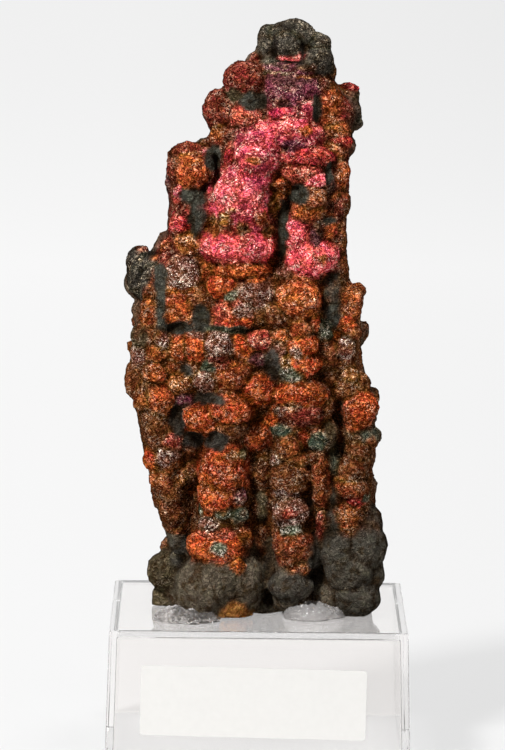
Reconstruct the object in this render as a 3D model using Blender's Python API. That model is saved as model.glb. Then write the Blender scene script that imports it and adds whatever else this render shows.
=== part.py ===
"""Goethite specimen on a clear display block.

A tall group of stalactitic, botryoidal goethite stands on a hollow clear block. Two blobs of clear
glue hold it, and a blank white label is on the block's front face. Metres, +Z up, +Y away from the
viewer. The origin is at the middle of the block's underside.

Places on the specimen are in millimetres: x from the block's middle, y to the back, z up from the
block's top. The lumps on its front are listed as a viewer sees them, x and z on a face plane.
"""
import math
import random

import bmesh
import bpy
from mathutils import Matrix, Vector, noise
from mathutils.bvhtree import BVHTree

MM = 0.001

# The clear block: a shell open underneath, a little wider at the foot than at the top
BLOCK_TOP = 51.0
BLOCK_HEIGHT = 24.0
BLOCK_DRAFT = math.radians(1.5)
BLOCK_WALL = 1.3
BLOCK_EDGE = 0.25

# The label on the block's front face
LABEL_WIDTH = 38.5
LABEL_HEIGHT = 12.0
LABEL_THICKNESS = 0.15
LABEL_MIDDLE = (-0.8, 11.8)
LABEL_TILT = math.radians(0.9)
LABEL_CORNER = 0.5

# Space kept between solids that touch
GAP = 0.3

# The viewer's eye and the face plane that the front lumps are listed on
EYE = Vector((-6.5, -1070.7, 188.3))
FACE_PLANE = -12.0

# The specimen's mesh: sizes of the voxels, and the triangles that stay
VOXEL = 0.75
KEPT_TRIANGLES = 8400
WOBBLE = 0.35
WOBBLE_SCALE = 3.2

# How boldly the listed lumps stand out from the core
BOLDNESS = 1.25

# Columns of the core, bottom to top: (z, x, y, half width, half depth)
FAT_COLUMN = (
    (1, -7.3, -5.0, 5.6, 9.0), (8, -6.8, -6.0, 6.0, 9.8), (14, -6.6, -5.5, 5.2, 9.2),
    (21, -6.0, -5.5, 4.7, 8.8), (30, -6.0, -5.0, 4.6, 8.0), (36, -6.6, -5.0, 5.8, 9.0),
    (45, -7.0, -5.0, 6.6, 9.2), (56, -6.2, -4.5, 6.2, 8.8), (63, -4.4, -4.2, 5.4, 9.2),
    (71, -4.2, -3.8, 4.8, 9.2), (79, -2.6, -3.0, 5.0, 9.4), (84, -1.4, -2.4, 5.8, 9.4),
    (89, -3.2, -1.2, 5.0, 7.6), (94, -2.4, -0.6, 3.0, 6.4),
)
MIDDLE_COLUMN = (
    (4, 5.6, -6.0, 3.4, 7.0), (11, 5.8, -6.0, 3.5, 8.4), (20, 5.3, -6.0, 3.4, 8.4),
    (30, 5.0, -5.5, 3.5, 8.0), (38, 6.4, -5.2, 4.4, 9.0), (47, 6.6, -5.2, 4.2, 9.0),
    (56, 6.4, -4.6, 3.8, 9.2), (63, 7.8, -3.8, 3.4, 8.6), (70, 8.4, -3.4, 3.6, 8.6),
    (77, 7.4, -3.0, 5.0, 9.0), (84, 5.6, -2.4, 5.6, 9.4), (90, 4.4, -1.2, 5.0, 7.6),
    (96, 5.2, -0.4, 5.2, 5.6), (99.5, 5.0, 0.0, 4.6, 4.8),
)
LEFT_COLUMN = (
    (15, -13.6, -1.5, 2.4, 8.0), (20, -14.8, -2.0, 3.4, 8.8), (29, -16.0, -2.6, 3.8, 9.2),
    (37, -17.6, -2.6, 4.2, 9.2), (44, -18.4, -2.6, 4.2, 9.2), (52, -17.6, -2.8, 3.8, 9.2),
    (59, -16.4, -2.8, 3.9, 8.6), (62, -15.4, -2.6, 3.4, 8.0),
)
SHOULDER_COLUMN = (
    (60, -13.2, -2.4, 3.4, 8.6), (68, -13.2, -2.2, 3.0, 8.0), (74, -13.2, -2.0, 2.9, 7.6),
    (79, -12.4, -1.6, 2.8, 7.6),
)
THIN_COLUMN = (
    (12, 10.2, -5.0, 1.6, 6.0), (24, 10.2, -6.0, 1.6, 7.0), (34, 10.0, -6.0, 1.7, 7.0),
)
RIGHT_COLUMN = (
    (1, 15.4, -3.0, 3.8, 8.0), (8, 16.2, -4.0, 4.6, 9.4), (16, 16.0, -4.2, 4.2, 9.2),
    (24, 15.8, -4.0, 3.6, 8.8), (32, 16.4, -3.6, 3.4, 8.4), (38, 16.2, -3.4, 3.2, 8.4),
    (45, 14.4, -3.0, 2.6, 7.8), (53, 14.4, -3.0, 2.4, 8.0), (60, 12.6, -2.6, 1.8, 7.8),
    (68, 12.4, -2.4, 1.7, 7.6), (76, 12.4, -2.2, 1.9, 7.6), (83, 12.4, -1.6, 2.2, 7.2),
    (89, 13.0, -0.8, 2.2, 6.2),
)
COLUMNS = (FAT_COLUMN, MIDDLE_COLUMN, LEFT_COLUMN, SHOULDER_COLUMN, THIN_COLUMN, RIGHT_COLUMN)

# The mass behind the columns: (z, left x, right x, front y, back y)
BACK_MASS = (
    (2.5, -16.6, 18.2, -8.0, 12.0), (8, -17.8, 20.2, -8.5, 14.0), (14, -15.8, 19.8, -8.5, 15.0),
    (20, -17.4, 19.0, -8.5, 15.5), (28, -19.0, 18.6, -9.0, 15.5), (33, -19.4, 18.8, -9.8, 15.5),
    (37, -20.4, 18.8, -11.5, 15.0), (43, -22.0, 16.6, -12.6, 15.0), (50, -20.6, 16.4, -13.0, 14.5),
    (57, -19.8, 15.4, -12.6, 14.0), (61, -17.8, 14.0, -11.5, 13.5), (64, -16.4, 13.4, -8.5, 13.5),
    (70, -15.2, 13.4, -7.0, 13.0), (76, -15.2, 13.6, -8.5, 12.5), (80, -14.2, 13.0, -9.5, 12.0),
    (83, -9.4, 13.2, -11.0, 11.5), (88, -8.2, 14.4, -8.0, 10.0), (92.5, -6.0, 12.0, -7.0, 8.5),
    (97, -1.4, 10.2, -4.5, 7.0), (100.5, 0.6, 8.6, -3.0, 5.5),
)

# Lumps on the front: (x, z, half width, half height, how far it stands out)
HEAD_LUMPS = (
    (4.3, 100.2, 3.8, 3.3, 3.4), (0.9, 99.2, 2.1, 3.4, 2.4), (8.7, 98.0, 2.8, 3.5, 2.8),
    (7.6, 100.8, 2.6, 0.9, 1.4), (1.1, 102.5, 0.7, 0.9, 0.6), (4.5, 97.2, 1.8, 0.7, 0.5),
    (2.8, 95.2, 2.5, 0.5, 1.2), (10.2, 94.9, 1.6, 1.3, 0.8),
)
CROWN_LUMPS = (
    (4.4, 90.6, 4.3, 4.6, 1.4), (3.4, 87.5, 2.4, 1.3, 1.3), (7.1, 87.9, 1.7, 2.2, 1.2),
    (-3.4, 93.2, 2.9, 2.6, 1.6), (-4.6, 96.0, 0.8, 0.6, 0.4), (-7.3, 88.8, 2.2, 2.6, 1.4),
    (-3.3, 86.9, 2.1, 1.3, 1.6), (-7.0, 83.7, 1.9, 1.5, 1.2), (11.0, 88.0, 1.9, 3.7, 1.8),
    (13.2, 91.0, 1.9, 1.6, 1.2), (14.0, 92.0, 2.0, 0.9, 0.8), (15.2, 88.0, 1.3, 2.6, 0.5),
    (15.6, 85.9, 1.3, 1.0, 0.3), (12.4, 84.6, 2.2, 1.3, 0.8), (15.7, 91.0, 0.6, 0.6, 0.1),
    (-8.6, 86.4, 1.2, 1.4, 0.7),
)
ROSE_LUMPS = (
    (2.0, 83.4, 7.4, 2.2, 2.2), (-2.3, 79.4, 3.3, 2.6, 2.0), (6.2, 79.8, 5.0, 1.2, 1.4),
    (6.0, 77.4, 3.2, 1.1, 1.2), (8.9, 76.2, 1.6, 1.3, 1.5), (12.0, 81.0, 2.0, 1.5, 1.2),
    (13.0, 82.6, 1.6, 1.0, 0.8), (2.0, 76.3, 1.7, 1.4, 1.9), (-4.2, 73.2, 4.6, 3.9, 2.4),
    (0.1, 71.6, 2.3, 2.4, 2.1), (2.3, 73.0, 1.4, 3.0, 1.2), (-8.3, 69.3, 1.2, 1.6, 1.3),
    (-6.4, 69.0, 1.5, 1.3, 2.0), (-3.7, 68.7, 1.1, 1.0, 2.2), (0.0, 68.1, 2.0, 1.9, 1.8),
    (-4.0, 64.6, 5.7, 2.9, 2.6), (-7.4, 76.8, 1.6, 2.4, 0.8),
)
SHOULDER_LUMPS = (
    (-12.6, 81.6, 3.2, 1.2, 1.4), (-12.3, 77.7, 2.6, 2.7, 2.4), (-15.4, 77.2, 0.9, 3.2, 1.0),
    (-14.4, 73.9, 0.8, 0.8, 0.9), (-14.5, 72.2, 0.8, 0.7, 0.9), (-9.7, 79.9, 0.9, 0.9, 1.0),
    (-14.3, 68.5, 1.5, 1.8, 1.4), (-12.3, 65.0, 2.1, 1.6, 1.6), (-15.9, 64.4, 1.3, 1.2, 0.9),
    (-16.7, 74.0, 0.6, 0.6, 0.1), (-17.0, 66.3, 0.7, 0.6, 0.1), (-9.7, 66.8, 1.0, 1.6, 0.8),
)
RIGHT_UPPER_LUMPS = (
    (8.5, 73.0, 1.9, 1.8, 1.7), (7.3, 70.6, 2.4, 1.4, 1.5), (6.2, 67.3, 2.1, 2.6, 2.0),
    (11.0, 68.3, 1.8, 2.2, 1.6), (11.3, 71.0, 1.3, 0.9, 1.0), (13.2, 77.2, 1.2, 2.1, 0.8),
    (8.3, 62.6, 3.5, 2.6, 2.0), (4.4, 63.6, 1.1, 1.1, 1.3), (13.5, 72.4, 1.1, 2.4, 0.5),
    (13.2, 66.4, 1.1, 2.7, 0.5), (13.4, 61.2, 1.1, 2.2, 0.5), (11.6, 73.6, 1.2, 1.1, 1.0),
)
LEFT_MIDDLE_LUMPS = (
    (-18.6, 61.0, 1.7, 1.5, 1.0), (-19.2, 57.5, 1.4, 2.8, 1.0), (-19.4, 52.8, 1.3, 2.3, 1.0),
    (-13.5, 59.4, 2.6, 2.6, 1.9), (-14.0, 54.2, 2.6, 2.8, 1.9), (-9.5, 60.0, 1.5, 1.7, 1.2),
    (-3.5, 60.7, 4.0, 1.2, 1.7), (-7.0, 57.6, 2.0, 1.5, 1.6), (-5.4, 56.0, 0.9, 0.8, 1.7),
    (-1.6, 56.6, 2.9, 2.9, 2.2), (-4.6, 53.1, 3.1, 2.4, 2.2), (-17.0, 47.8, 1.0, 1.3, 1.1),
    (-14.0, 47.0, 1.7, 2.0, 1.5), (-11.0, 47.3, 1.9, 2.1, 1.8), (-7.3, 47.2, 2.0, 2.0, 2.0),
    (-3.7, 47.3, 2.0, 1.8, 1.9), (-0.8, 48.4, 2.0, 1.3, 1.9), (-0.7, 45.2, 1.9, 1.2, 1.2),
    (-20.7, 46.0, 1.5, 2.2, 1.0), (-15.8, 44.0, 2.1, 1.4, 1.2), (-18.0, 42.8, 1.4, 1.4, 1.1),
    (-21.6, 41.0, 1.6, 2.6, 0.6), (-13.5, 40.8, 2.0, 1.7, 1.4), (-9.5, 41.0, 1.7, 1.6, 1.4),
    (-5.0, 42.4, 2.6, 2.5, 1.6), (-0.7, 39.9, 2.8, 2.5, 2.2), (-17.2, 38.0, 2.0, 2.2, 1.2),
    (-13.0, 38.2, 1.8, 1.4, 1.1), (-21.6, 51.4, 0.8, 1.0, 0.4), (-22.0, 47.0, 0.9, 0.9, 0.3),
)
RIGHT_MIDDLE_LUMPS = (
    (6.5, 55.5, 3.2, 2.8, 2.2), (5.0, 60.5, 2.5, 1.2, 1.3), (8.8, 52.1, 1.0, 1.8, 1.4),
    (3.3, 49.3, 1.5, 1.0, 1.3), (10.5, 49.5, 1.4, 0.9, 1.2), (12.8, 49.5, 1.1, 1.0, 1.2),
    (7.3, 47.5, 2.3, 1.7, 1.9), (7.5, 44.4, 2.5, 1.7, 1.8), (5.2, 42.8, 1.8, 1.5, 1.5),
    (11.1, 46.0, 2.2, 3.0, 1.3), (7.0, 39.2, 3.9, 1.9, 2.0), (7.0, 36.0, 3.4, 1.9, 1.5),
    (12.1, 55.2, 1.2, 2.4, 0.8), (15.2, 54.8, 1.7, 2.8, 1.1), (14.4, 47.0, 1.5, 1.6, 1.1),
    (15.3, 42.1, 1.3, 1.0, 1.0), (16.6, 36.6, 2.1, 3.0, 1.9), (18.3, 32.2, 1.9, 1.7, 1.1),
    (3.7, 32.6, 1.3, 0.8, 0.8), (16.6, 57.0, 0.9, 1.4, 0.3), (17.3, 50.2, 0.9, 1.4, 0.4),
    (19.4, 38.5, 0.9, 1.8, 0.4),
)
LEFT_LOWER_LUMPS = (
    (-10.0, 34.4, 2.7, 2.3, 2.6), (-4.8, 36.1, 2.7, 2.2, 2.6), (-5.0, 33.3, 2.3, 1.4, 1.7),
    (-1.0, 31.9, 2.4, 2.1, 2.4), (0.3, 28.6, 0.9, 1.3, 1.1), (-18.3, 33.0, 1.7, 2.8, 0.9),
    (-15.3, 30.3, 1.6, 1.5, 1.4), (-18.5, 27.8, 1.6, 1.8, 1.0), (-10.7, 28.2, 1.0, 1.0, 1.0),
    (-13.7, 24.5, 1.2, 1.1, 1.1), (-17.2, 23.8, 1.7, 1.4, 1.0), (-12.0, 22.2, 1.2, 1.4, 1.3),
    (-6.3, 26.0, 3.3, 3.0, 2.0), (-7.0, 21.4, 3.1, 2.9, 1.8), (-3.8, 21.4, 1.5, 1.3, 1.5),
    (-3.8, 18.0, 1.7, 1.2, 1.3), (-6.2, 18.4, 1.6, 1.1, 1.2), (-9.6, 19.0, 1.1, 1.1, 1.0),
    (-11.7, 16.3, 1.2, 1.1, 1.0), (-8.5, 16.4, 1.8, 1.2, 1.2), (-7.5, 12.6, 4.4, 2.5, 2.0),
    (-3.8, 9.2, 1.0, 1.3, 1.3), (-3.0, 14.0, 1.7, 1.9, 1.3), (-15.6, 18.2, 1.6, 1.6, 0.8),
    (-3.2, 28.5, 0.7, 0.7, 0.8),
)
MIDDLE_LOWER_LUMPS = (
    (4.7, 30.0, 1.8, 1.5, 1.4), (3.0, 27.5, 1.3, 1.1, 1.2), (6.2, 27.4, 1.5, 1.2, 1.3),
    (5.1, 24.4, 2.9, 2.6, 1.8), (5.4, 18.5, 2.7, 2.0, 1.8), (5.7, 15.3, 1.7, 1.0, 1.1),
    (6.0, 12.5, 2.9, 2.8, 1.8), (7.0, 9.5, 1.9, 1.7, 1.3), (10.0, 24.0, 1.2, 4.2, 1.2),
    (9.4, 28.0, 1.2, 1.0, 1.4), (9.1, 33.0, 1.6, 1.3, 1.6), (9.5, 30.9, 1.2, 1.0, 1.3),
    (10.4, 17.2, 0.8, 2.8, 0.8), (15.9, 26.1, 1.9, 1.9, 1.7), (15.9, 22.9, 2.3, 1.6, 1.5),
    (16.8, 20.9, 1.5, 0.9, 1.1), (15.0, 17.9, 2.2, 1.6, 1.4),
)
FOOT_LUMPS = (
    (-9.2, 5.0, 4.4, 4.8, 1.8), (-2.3, 6.2, 2.8, 4.4, 1.6), (-16.2, 8.2, 2.6, 2.7, 2.6),
    (-16.3, 3.1, 1.9, 2.4, 2.2), (-15.7, 12.5, 1.3, 1.3, 0.8), (-13.6, 12.8, 1.5, 1.5, 1.4),
    (-3.9, 1.6, 2.6, 1.6, 1.2), (5.6, 5.8, 3.3, 2.2, 1.8), (13.9, 12.4, 3.0, 3.6, 1.9),
    (18.0, 12.6, 3.2, 3.9, 1.5), (19.2, 8.3, 2.1, 2.6, 1.1), (16.9, 3.8, 3.5, 3.0, 1.8),
    (12.9, 4.2, 2.7, 3.2, 2.2), (15.6, 8.6, 3.6, 3.0, 1.5), (18.8, 17.0, 2.0, 2.6, 0.8),
)
FRONT_LUMPS = (
    HEAD_LUMPS + CROWN_LUMPS + ROSE_LUMPS + SHOULDER_LUMPS + RIGHT_UPPER_LUMPS + LEFT_MIDDLE_LUMPS
    + RIGHT_MIDDLE_LUMPS + LEFT_LOWER_LUMPS + MIDDLE_LOWER_LUMPS + FOOT_LUMPS
)

# A dark chunk stands out at the left edge: (z, x, y, half width, half depth)
CHUNK = (
    (55.6, -20.2, 0.0, 1.8, 3.4), (58.5, -20.6, -0.6, 2.5, 4.2), (61.5, -20.8, -0.8, 2.6, 4.4),
    (63.4, -20.0, -0.4, 2.0, 3.4),
)

# Pits and crevices on the front: (x, z, half width, half height, depth)
PITS = (
    (4.6, 97.4, 1.9, 1.3, 2.0), (-1.6, 89.6, 1.7, 1.3, 3.0), (-0.5, 87.6, 0.8, 1.4, 3.0),
    (8.9, 88.4, 0.5, 2.0, 2.4), (-8.7, 76.4, 0.7, 4.2, 5.0), (-12.0, 72.8, 2.1, 1.4, 3.0),
    (-11.7, 69.2, 0.8, 2.6, 2.6), (4.9, 74.4, 1.6, 1.6, 4.5), (3.5, 69.4, 0.9, 5.0, 5.5),
    (2.8, 62.8, 0.8, 3.4, 5.0), (9.2, 66.2, 0.9, 1.4, 1.8), (11.2, 77.4, 0.6, 1.8, 1.4),
    (-17.3, 53.6, 0.6, 3.2, 2.0), (-14.6, 50.4, 2.4, 0.7, 2.2), (-10.4, 52.6, 1.2, 3.0, 4.0),
    (-6.5, 50.0, 3.4, 0.5, 2.2), (11.7, 60.6, 0.5, 4.4, 2.2), (6.3, 51.5, 1.1, 0.8, 2.4),
    (2.0, 44.4, 1.2, 2.2, 5.5), (2.2, 48.0, 0.6, 2.4, 4.0), (-12.9, 43.2, 1.0, 0.9, 2.6),
    (-9.0, 43.6, 1.0, 0.8, 2.4), (-9.0, 38.0, 2.8, 0.7, 2.4), (-14.2, 33.6, 1.0, 3.4, 5.0),
    (-7.5, 31.2, 0.8, 2.2, 4.0), (0.4, 24.0, 1.6, 6.4, 5.0), (0.7, 14.0, 1.5, 6.4, 5.0),
    (12.3, 36.0, 0.8, 5.4, 4.0), (12.4, 25.0, 0.8, 5.4, 4.0), (13.2, 28.4, 0.9, 1.6, 3.4),
    (9.3, 10.4, 0.7, 4.6, 4.0), (-13.2, 6.0, 0.6, 3.0, 4.0), (2.2, 3.6, 1.6, 2.4, 3.5),
)

# Lumps on the sides and the back, set by a seeded loop
BACK_SEED = 11
BACK_LUMPS = 210
BACK_RADIUS = (1.8, 4.2)
BACK_ARC = (-8.0, 188.0)

# Glue blobs: (x, y, half width, half depth, height, seed)
GLUE = {
    "glue_left": (-12.2, -14.2, 5.8, 6.6, 1.9, 3.0),
    "glue_right": (9.3, -9.8, 5.2, 5.8, 3.4, 8.0),
}

OCHRE_LUMP = (-3.9, 1.0, 2.7, 1.1, 1.6)


def clear_scene():
    """Removes what the opened file holds."""
    for thing in list(bpy.data.objects):
        bpy.data.objects.remove(thing, do_unlink=True)


def material(name, colour, roughness, metallic=0.0, alpha=1.0):
    """A Principled material."""
    made = bpy.data.materials.new(name)
    made.use_nodes = True
    shader = made.node_tree.nodes["Principled BSDF"]
    shader.inputs["Base Color"].default_value = (*colour, 1.0)
    shader.inputs["Roughness"].default_value = roughness
    shader.inputs["Metallic"].default_value = metallic
    shader.inputs["Alpha"].default_value = alpha
    made.diffuse_color = (*colour, alpha)
    return made


def add_object(name, bm, made=None):
    """Turns a bmesh in millimetres on the block's top into an object in metres."""
    bmesh.ops.recalc_face_normals(bm, faces=bm.faces)
    bmesh.ops.scale(bm, vec=(MM, MM, MM), verts=bm.verts)
    mesh = bpy.data.meshes.new(name)
    bm.to_mesh(mesh)
    bm.free()
    if made:
        mesh.materials.append(made)
    thing = bpy.data.objects.new(name, mesh)
    thing.location.z = BLOCK_HEIGHT * MM
    bpy.context.scene.collection.objects.link(thing)
    return thing


def as_cutter(thing):
    """Marks an object as a cutter, which isn't part of the model."""
    thing.hide_render = True
    thing.display_type = "WIRE"
    return thing


def cut(thing, cutter):
    """Subtracts a cutter from an object."""
    step = thing.modifiers.new("Cut", "BOOLEAN")
    step.operation = "DIFFERENCE"
    step.solver = "EXACT"
    step.object = cutter


def merge_shapes(thing):
    """Joins an object's overlapping shapes in one closed surface."""
    step = thing.modifiers.new("Merge", "REMESH")
    step.mode = "VOXEL"
    step.voxel_size = VOXEL * MM


def sight(x, z, y):
    """The point at depth y that a viewer sees at x and z on the face plane."""
    seen = Vector((x, FACE_PLANE, z))
    part = (y - EYE.y) / (FACE_PLANE - EYE.y)
    return EYE.lerp(seen, part)


def ellipsoid(bm, centre, radii, subdivisions=3):
    """Adds an ellipsoid with its axes along X, Y and Z."""
    place = Matrix.LocRotScale(Vector(centre), None, Vector(radii))
    bmesh.ops.create_icosphere(bm, subdivisions=subdivisions, radius=1.0, matrix=place)


def loft(bm, rings):
    """Joins closed rings of points, bottom to top, and closes both ends."""
    rows = [[bm.verts.new(point) for point in ring] for ring in rings]
    for lower, upper in zip(rows, rows[1:]):
        for k, corner in enumerate(lower):
            after = (k + 1) % len(lower)
            bm.faces.new((corner, lower[after], upper[after], upper[k]))
    bm.faces.new(rows[0][::-1])
    bm.faces.new(rows[-1])


def oval(x, y, z, half_width, half_depth, sides=24, power=1.0):
    """A ring of points on an oval, squarer with a smaller power."""
    ring = []
    for k in range(sides):
        turn = 2.0 * math.pi * k / sides
        c, s = math.cos(turn), math.sin(turn)
        across = math.copysign(abs(c) ** power, c)
        along = math.copysign(abs(s) ** power, s)
        ring.append((x + half_width * across, y + half_depth * along, z))
    return ring


def add_column(bm, stations):
    """Adds an upright column with domed ends through its stations."""
    places = [(sight(x, z, y), rx, ry) for z, x, y, rx, ry in stations]
    loft(bm, [oval(at.x, at.y, at.z, rx, ry) for at, rx, ry in places])
    for at, rx, ry in (places[0], places[-1]):
        ellipsoid(bm, at, (rx, ry, 0.8 * rx))


def add_back_mass(bm):
    """Adds the mass that stands behind the columns."""
    rings = []
    for z, left, right, front, back in BACK_MASS:
        at = sight((left + right) / 2, z, 0.0)
        half_width, half_depth = (right - left) / 2, (back - front) / 2
        rings.append(oval(at.x, (front + back) / 2, at.z, half_width, half_depth, 40, 0.75))
    loft(bm, rings)


def core():
    """The specimen's core: its columns and the mass behind them."""
    bm = bmesh.new()
    add_back_mass(bm)
    for stations in COLUMNS:
        add_column(bm, stations)
    add_column(bm, CHUNK)
    return bm


def add_front_lumps(bm, tree):
    """Adds the lumps on the front, each on the core's face."""
    for x, z, half_width, half_height, stand in FRONT_LUMPS + (OCHRE_LUMP,):
        aim = (Vector((x, FACE_PLANE, z)) - EYE).normalized()
        face = tree.ray_cast(EYE, aim)[0]
        if face is None:
            face = sight(x, z, 0.0)
        stand *= BOLDNESS
        half_depth = max(0.5 * (half_width + half_height), 1.15 * stand)
        centre = face + aim * (half_depth - stand)
        ellipsoid(bm, centre, (half_width, half_depth, half_height))


def add_back_lumps(bm, tree):
    """Adds the lumps on the sides and the back."""
    chance = random.Random(BACK_SEED)
    for _ in range(BACK_LUMPS):
        turn = math.radians(chance.uniform(*BACK_ARC))
        height = chance.uniform(2.0, 98.0)
        size = chance.uniform(*BACK_RADIUS) * (1.0 - 0.3 * height / 100.0)
        shape = [size * chance.uniform(0.8, 1.2) for _ in range(3)]
        start = Vector((60.0 * math.cos(turn), 60.0 * math.sin(turn), height))
        aim = Vector((0.0, 3.0, height)) - start
        face, normal = tree.ray_cast(start, aim.normalized())[:2]
        if face is None:
            continue
        sideways = abs(normal.x)
        stand = size * (0.55 - 0.3 * sideways)
        ellipsoid(bm, face - normal * (size - stand), shape)


def wobble(bm):
    """Makes the round lumps a little uneven."""
    for corner in bm.verts:
        push = noise.noise_vector(corner.co / WOBBLE_SCALE)
        corner.co += push * WOBBLE


def add_pits(bm, tree):
    """Adds the ellipsoids that cut the pits and crevices."""
    for x, z, half_width, half_height, depth in PITS:
        aim = (Vector((x, FACE_PLANE, z)) - EYE).normalized()
        face = tree.ray_cast(EYE, aim)[0] or sight(x, z, 0.0)
        ellipsoid(bm, face, (half_width, depth, half_height), 2)


def glue_shape(x, y, half_width, half_depth, height, seed, grow=0.0):
    """A low uneven blob that stands on the block's top."""
    bm = bmesh.new()
    centre = (x, y, GAP - grow)
    ellipsoid(bm, centre, (half_width + grow, half_depth + grow, height + 2 * grow), 3)
    for corner in bm.verts:
        spot = Vector((corner.co.x, corner.co.y, seed)) / 3.0
        corner.co += Vector((noise.noise(spot), noise.noise(spot + Vector((9.0, 0, 0))), 0.0)) * 0.9
        corner.co.z = max(corner.co.z, GAP - grow)
    return bm


def make_goethite():
    """The specimen: core, lumps and pits joined in one closed body."""
    body = core()
    tree = BVHTree.FromBMesh(body)
    add_front_lumps(body, tree)
    add_back_lumps(body, tree)
    wobble(body)
    metal = material("goethite", (0.30, 0.10, 0.05), 0.42, 0.6)
    specimen = add_object("goethite", body, metal)

    pits = bmesh.new()
    add_pits(pits, tree)
    foot = bmesh.new()
    under = Matrix.LocRotScale(Vector((0, 0, GAP - 10.0)), None, Vector((80.0, 80.0, 20.0)))
    bmesh.ops.create_cube(foot, size=1.0, matrix=under)

    merge_shapes(specimen)
    pit_cutter = as_cutter(add_object("pit_cutter", pits))
    merge_shapes(pit_cutter)
    cut(specimen, pit_cutter)
    merge_shapes(specimen)
    ease = specimen.modifiers.new("Ease", "SMOOTH")
    ease.factor = 0.5
    ease.iterations = 2
    thin = specimen.modifiers.new("Thin out", "DECIMATE")
    thin.ratio = KEPT_TRIANGLES / evaluated_triangles(specimen, thin)
    cut(specimen, as_cutter(add_object("foot_cutter", foot)))
    for name, shape in GLUE.items():
        cut(specimen, as_cutter(add_object(name + "_cutter", glue_shape(*shape, grow=GAP))))
    return specimen


def evaluated_triangles(thing, switched_off):
    """Counts an object's triangles without one of its modifiers."""
    switched_off.show_viewport = False
    graph = bpy.context.evaluated_depsgraph_get()
    graph.update()
    mesh = thing.evaluated_get(graph).to_mesh()
    mesh.calc_loop_triangles()
    count = len(mesh.loop_triangles)
    switched_off.show_viewport = True
    return count


def make_glue(name, shape):
    """One blob of clear glue."""
    clear = material(name, (0.95, 0.95, 0.94), 0.12, alpha=0.4)
    thing = add_object(name, glue_shape(*shape), clear)
    thing.data.shade_smooth()
    return thing


def block_ring(half, z):
    """The four corners of a square."""
    return [(-half, -half, z), (half, -half, z), (half, half, z), (-half, half, z)]


def make_block():
    """The clear block: a drafted shell, closed on top and open underneath."""
    lean = math.tan(BLOCK_DRAFT)
    top, bottom = 0.0, -BLOCK_HEIGHT
    half_top = BLOCK_TOP / 2
    half_bottom = half_top + BLOCK_HEIGHT * lean
    ceiling = top - BLOCK_WALL
    inner_top = half_top + BLOCK_WALL * lean - BLOCK_WALL
    bm = bmesh.new()
    loft(bm, [
        block_ring(inner_top, ceiling),
        block_ring(half_bottom - BLOCK_WALL, bottom),
        block_ring(half_bottom, bottom),
        block_ring(half_top, top),
    ])
    clear = material("base", (0.93, 0.94, 0.95), 0.08, alpha=0.35)
    block = add_object("base", bm, clear)
    edge = block.modifiers.new("Edge", "BEVEL")
    edge.width = BLOCK_EDGE * MM
    edge.segments = 2
    edge.limit_method = "ANGLE"
    return block


def make_label():
    """The blank label, laid on the block's leaning front face."""
    bm = bmesh.new()
    size = Vector((LABEL_WIDTH, LABEL_THICKNESS, LABEL_HEIGHT))
    bmesh.ops.create_cube(bm, size=1.0, matrix=Matrix.Diagonal(size).to_4x4())
    upright = [e for e in bm.edges if abs(e.verts[0].co.y - e.verts[1].co.y) > LABEL_THICKNESS / 2]
    bmesh.ops.bevel(bm, geom=upright, offset=LABEL_CORNER, segments=3, profile=0.5, affect="EDGES")
    x, height = LABEL_MIDDLE
    face = BLOCK_TOP / 2 + (BLOCK_HEIGHT - height) * math.tan(BLOCK_DRAFT)
    out = face + GAP + LABEL_THICKNESS / 2
    turn = Matrix.Rotation(-BLOCK_DRAFT, 4, "X") @ Matrix.Rotation(LABEL_TILT, 4, "Y")
    bmesh.ops.transform(bm, matrix=turn, verts=bm.verts)
    bmesh.ops.translate(bm, vec=(x, -out, height - BLOCK_HEIGHT), verts=bm.verts)
    return add_object("label", bm, material("label", (0.93, 0.92, 0.89), 0.6))


def main():
    clear_scene()
    make_block()
    make_label()
    for name, shape in GLUE.items():
        make_glue(name, shape)
    make_goethite()


main()
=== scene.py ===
"""Looks of the goethite specimen on its clear display block.

The specimen is rebuilt finer than its solid, from the same columns, lumps and pits, and gets a
glittering iridescent crust. The glue is crinkled and clear, the block clear and the label bare.
"""

import random
from math import copysign, cos, pi, radians, sin

import bmesh
import bpy
import numpy as np
from mathutils import Matrix, Vector, noise
from mathutils.bvhtree import BVHTree


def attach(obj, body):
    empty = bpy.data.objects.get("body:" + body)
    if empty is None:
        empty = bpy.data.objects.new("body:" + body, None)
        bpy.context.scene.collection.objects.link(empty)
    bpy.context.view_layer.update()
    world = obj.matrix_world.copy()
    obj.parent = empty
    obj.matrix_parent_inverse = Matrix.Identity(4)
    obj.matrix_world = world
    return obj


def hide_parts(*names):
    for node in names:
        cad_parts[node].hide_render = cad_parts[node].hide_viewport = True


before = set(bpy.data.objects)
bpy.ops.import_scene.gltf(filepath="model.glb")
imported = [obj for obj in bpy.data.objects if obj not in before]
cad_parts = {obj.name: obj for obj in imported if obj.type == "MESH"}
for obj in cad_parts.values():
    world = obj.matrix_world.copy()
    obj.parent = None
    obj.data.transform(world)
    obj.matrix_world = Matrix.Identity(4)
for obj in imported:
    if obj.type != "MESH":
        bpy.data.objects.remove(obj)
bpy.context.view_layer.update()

MM = 0.001
BLOCK_HEIGHT = 24.0
GAP = 0.3

# The viewer's eye and the face plane that the front lumps are listed on
EYE = Vector((-6.5, -1070.7, 188.3))
FACE_PLANE = -12.0

# The camera: its turn and its focal length, in pixels of an image 750 high
CAMERA_DOWN = radians(7.85)
CAMERA_RIGHT = radians(0.27)
CAMERA_ROLL = radians(0.65)
FOCAL_PIXELS = 6226.0
IMAGE_HEIGHT = 750.0
SENSOR_WIDTH = 36.0
CLIP = (0.05, 20.0)

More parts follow.
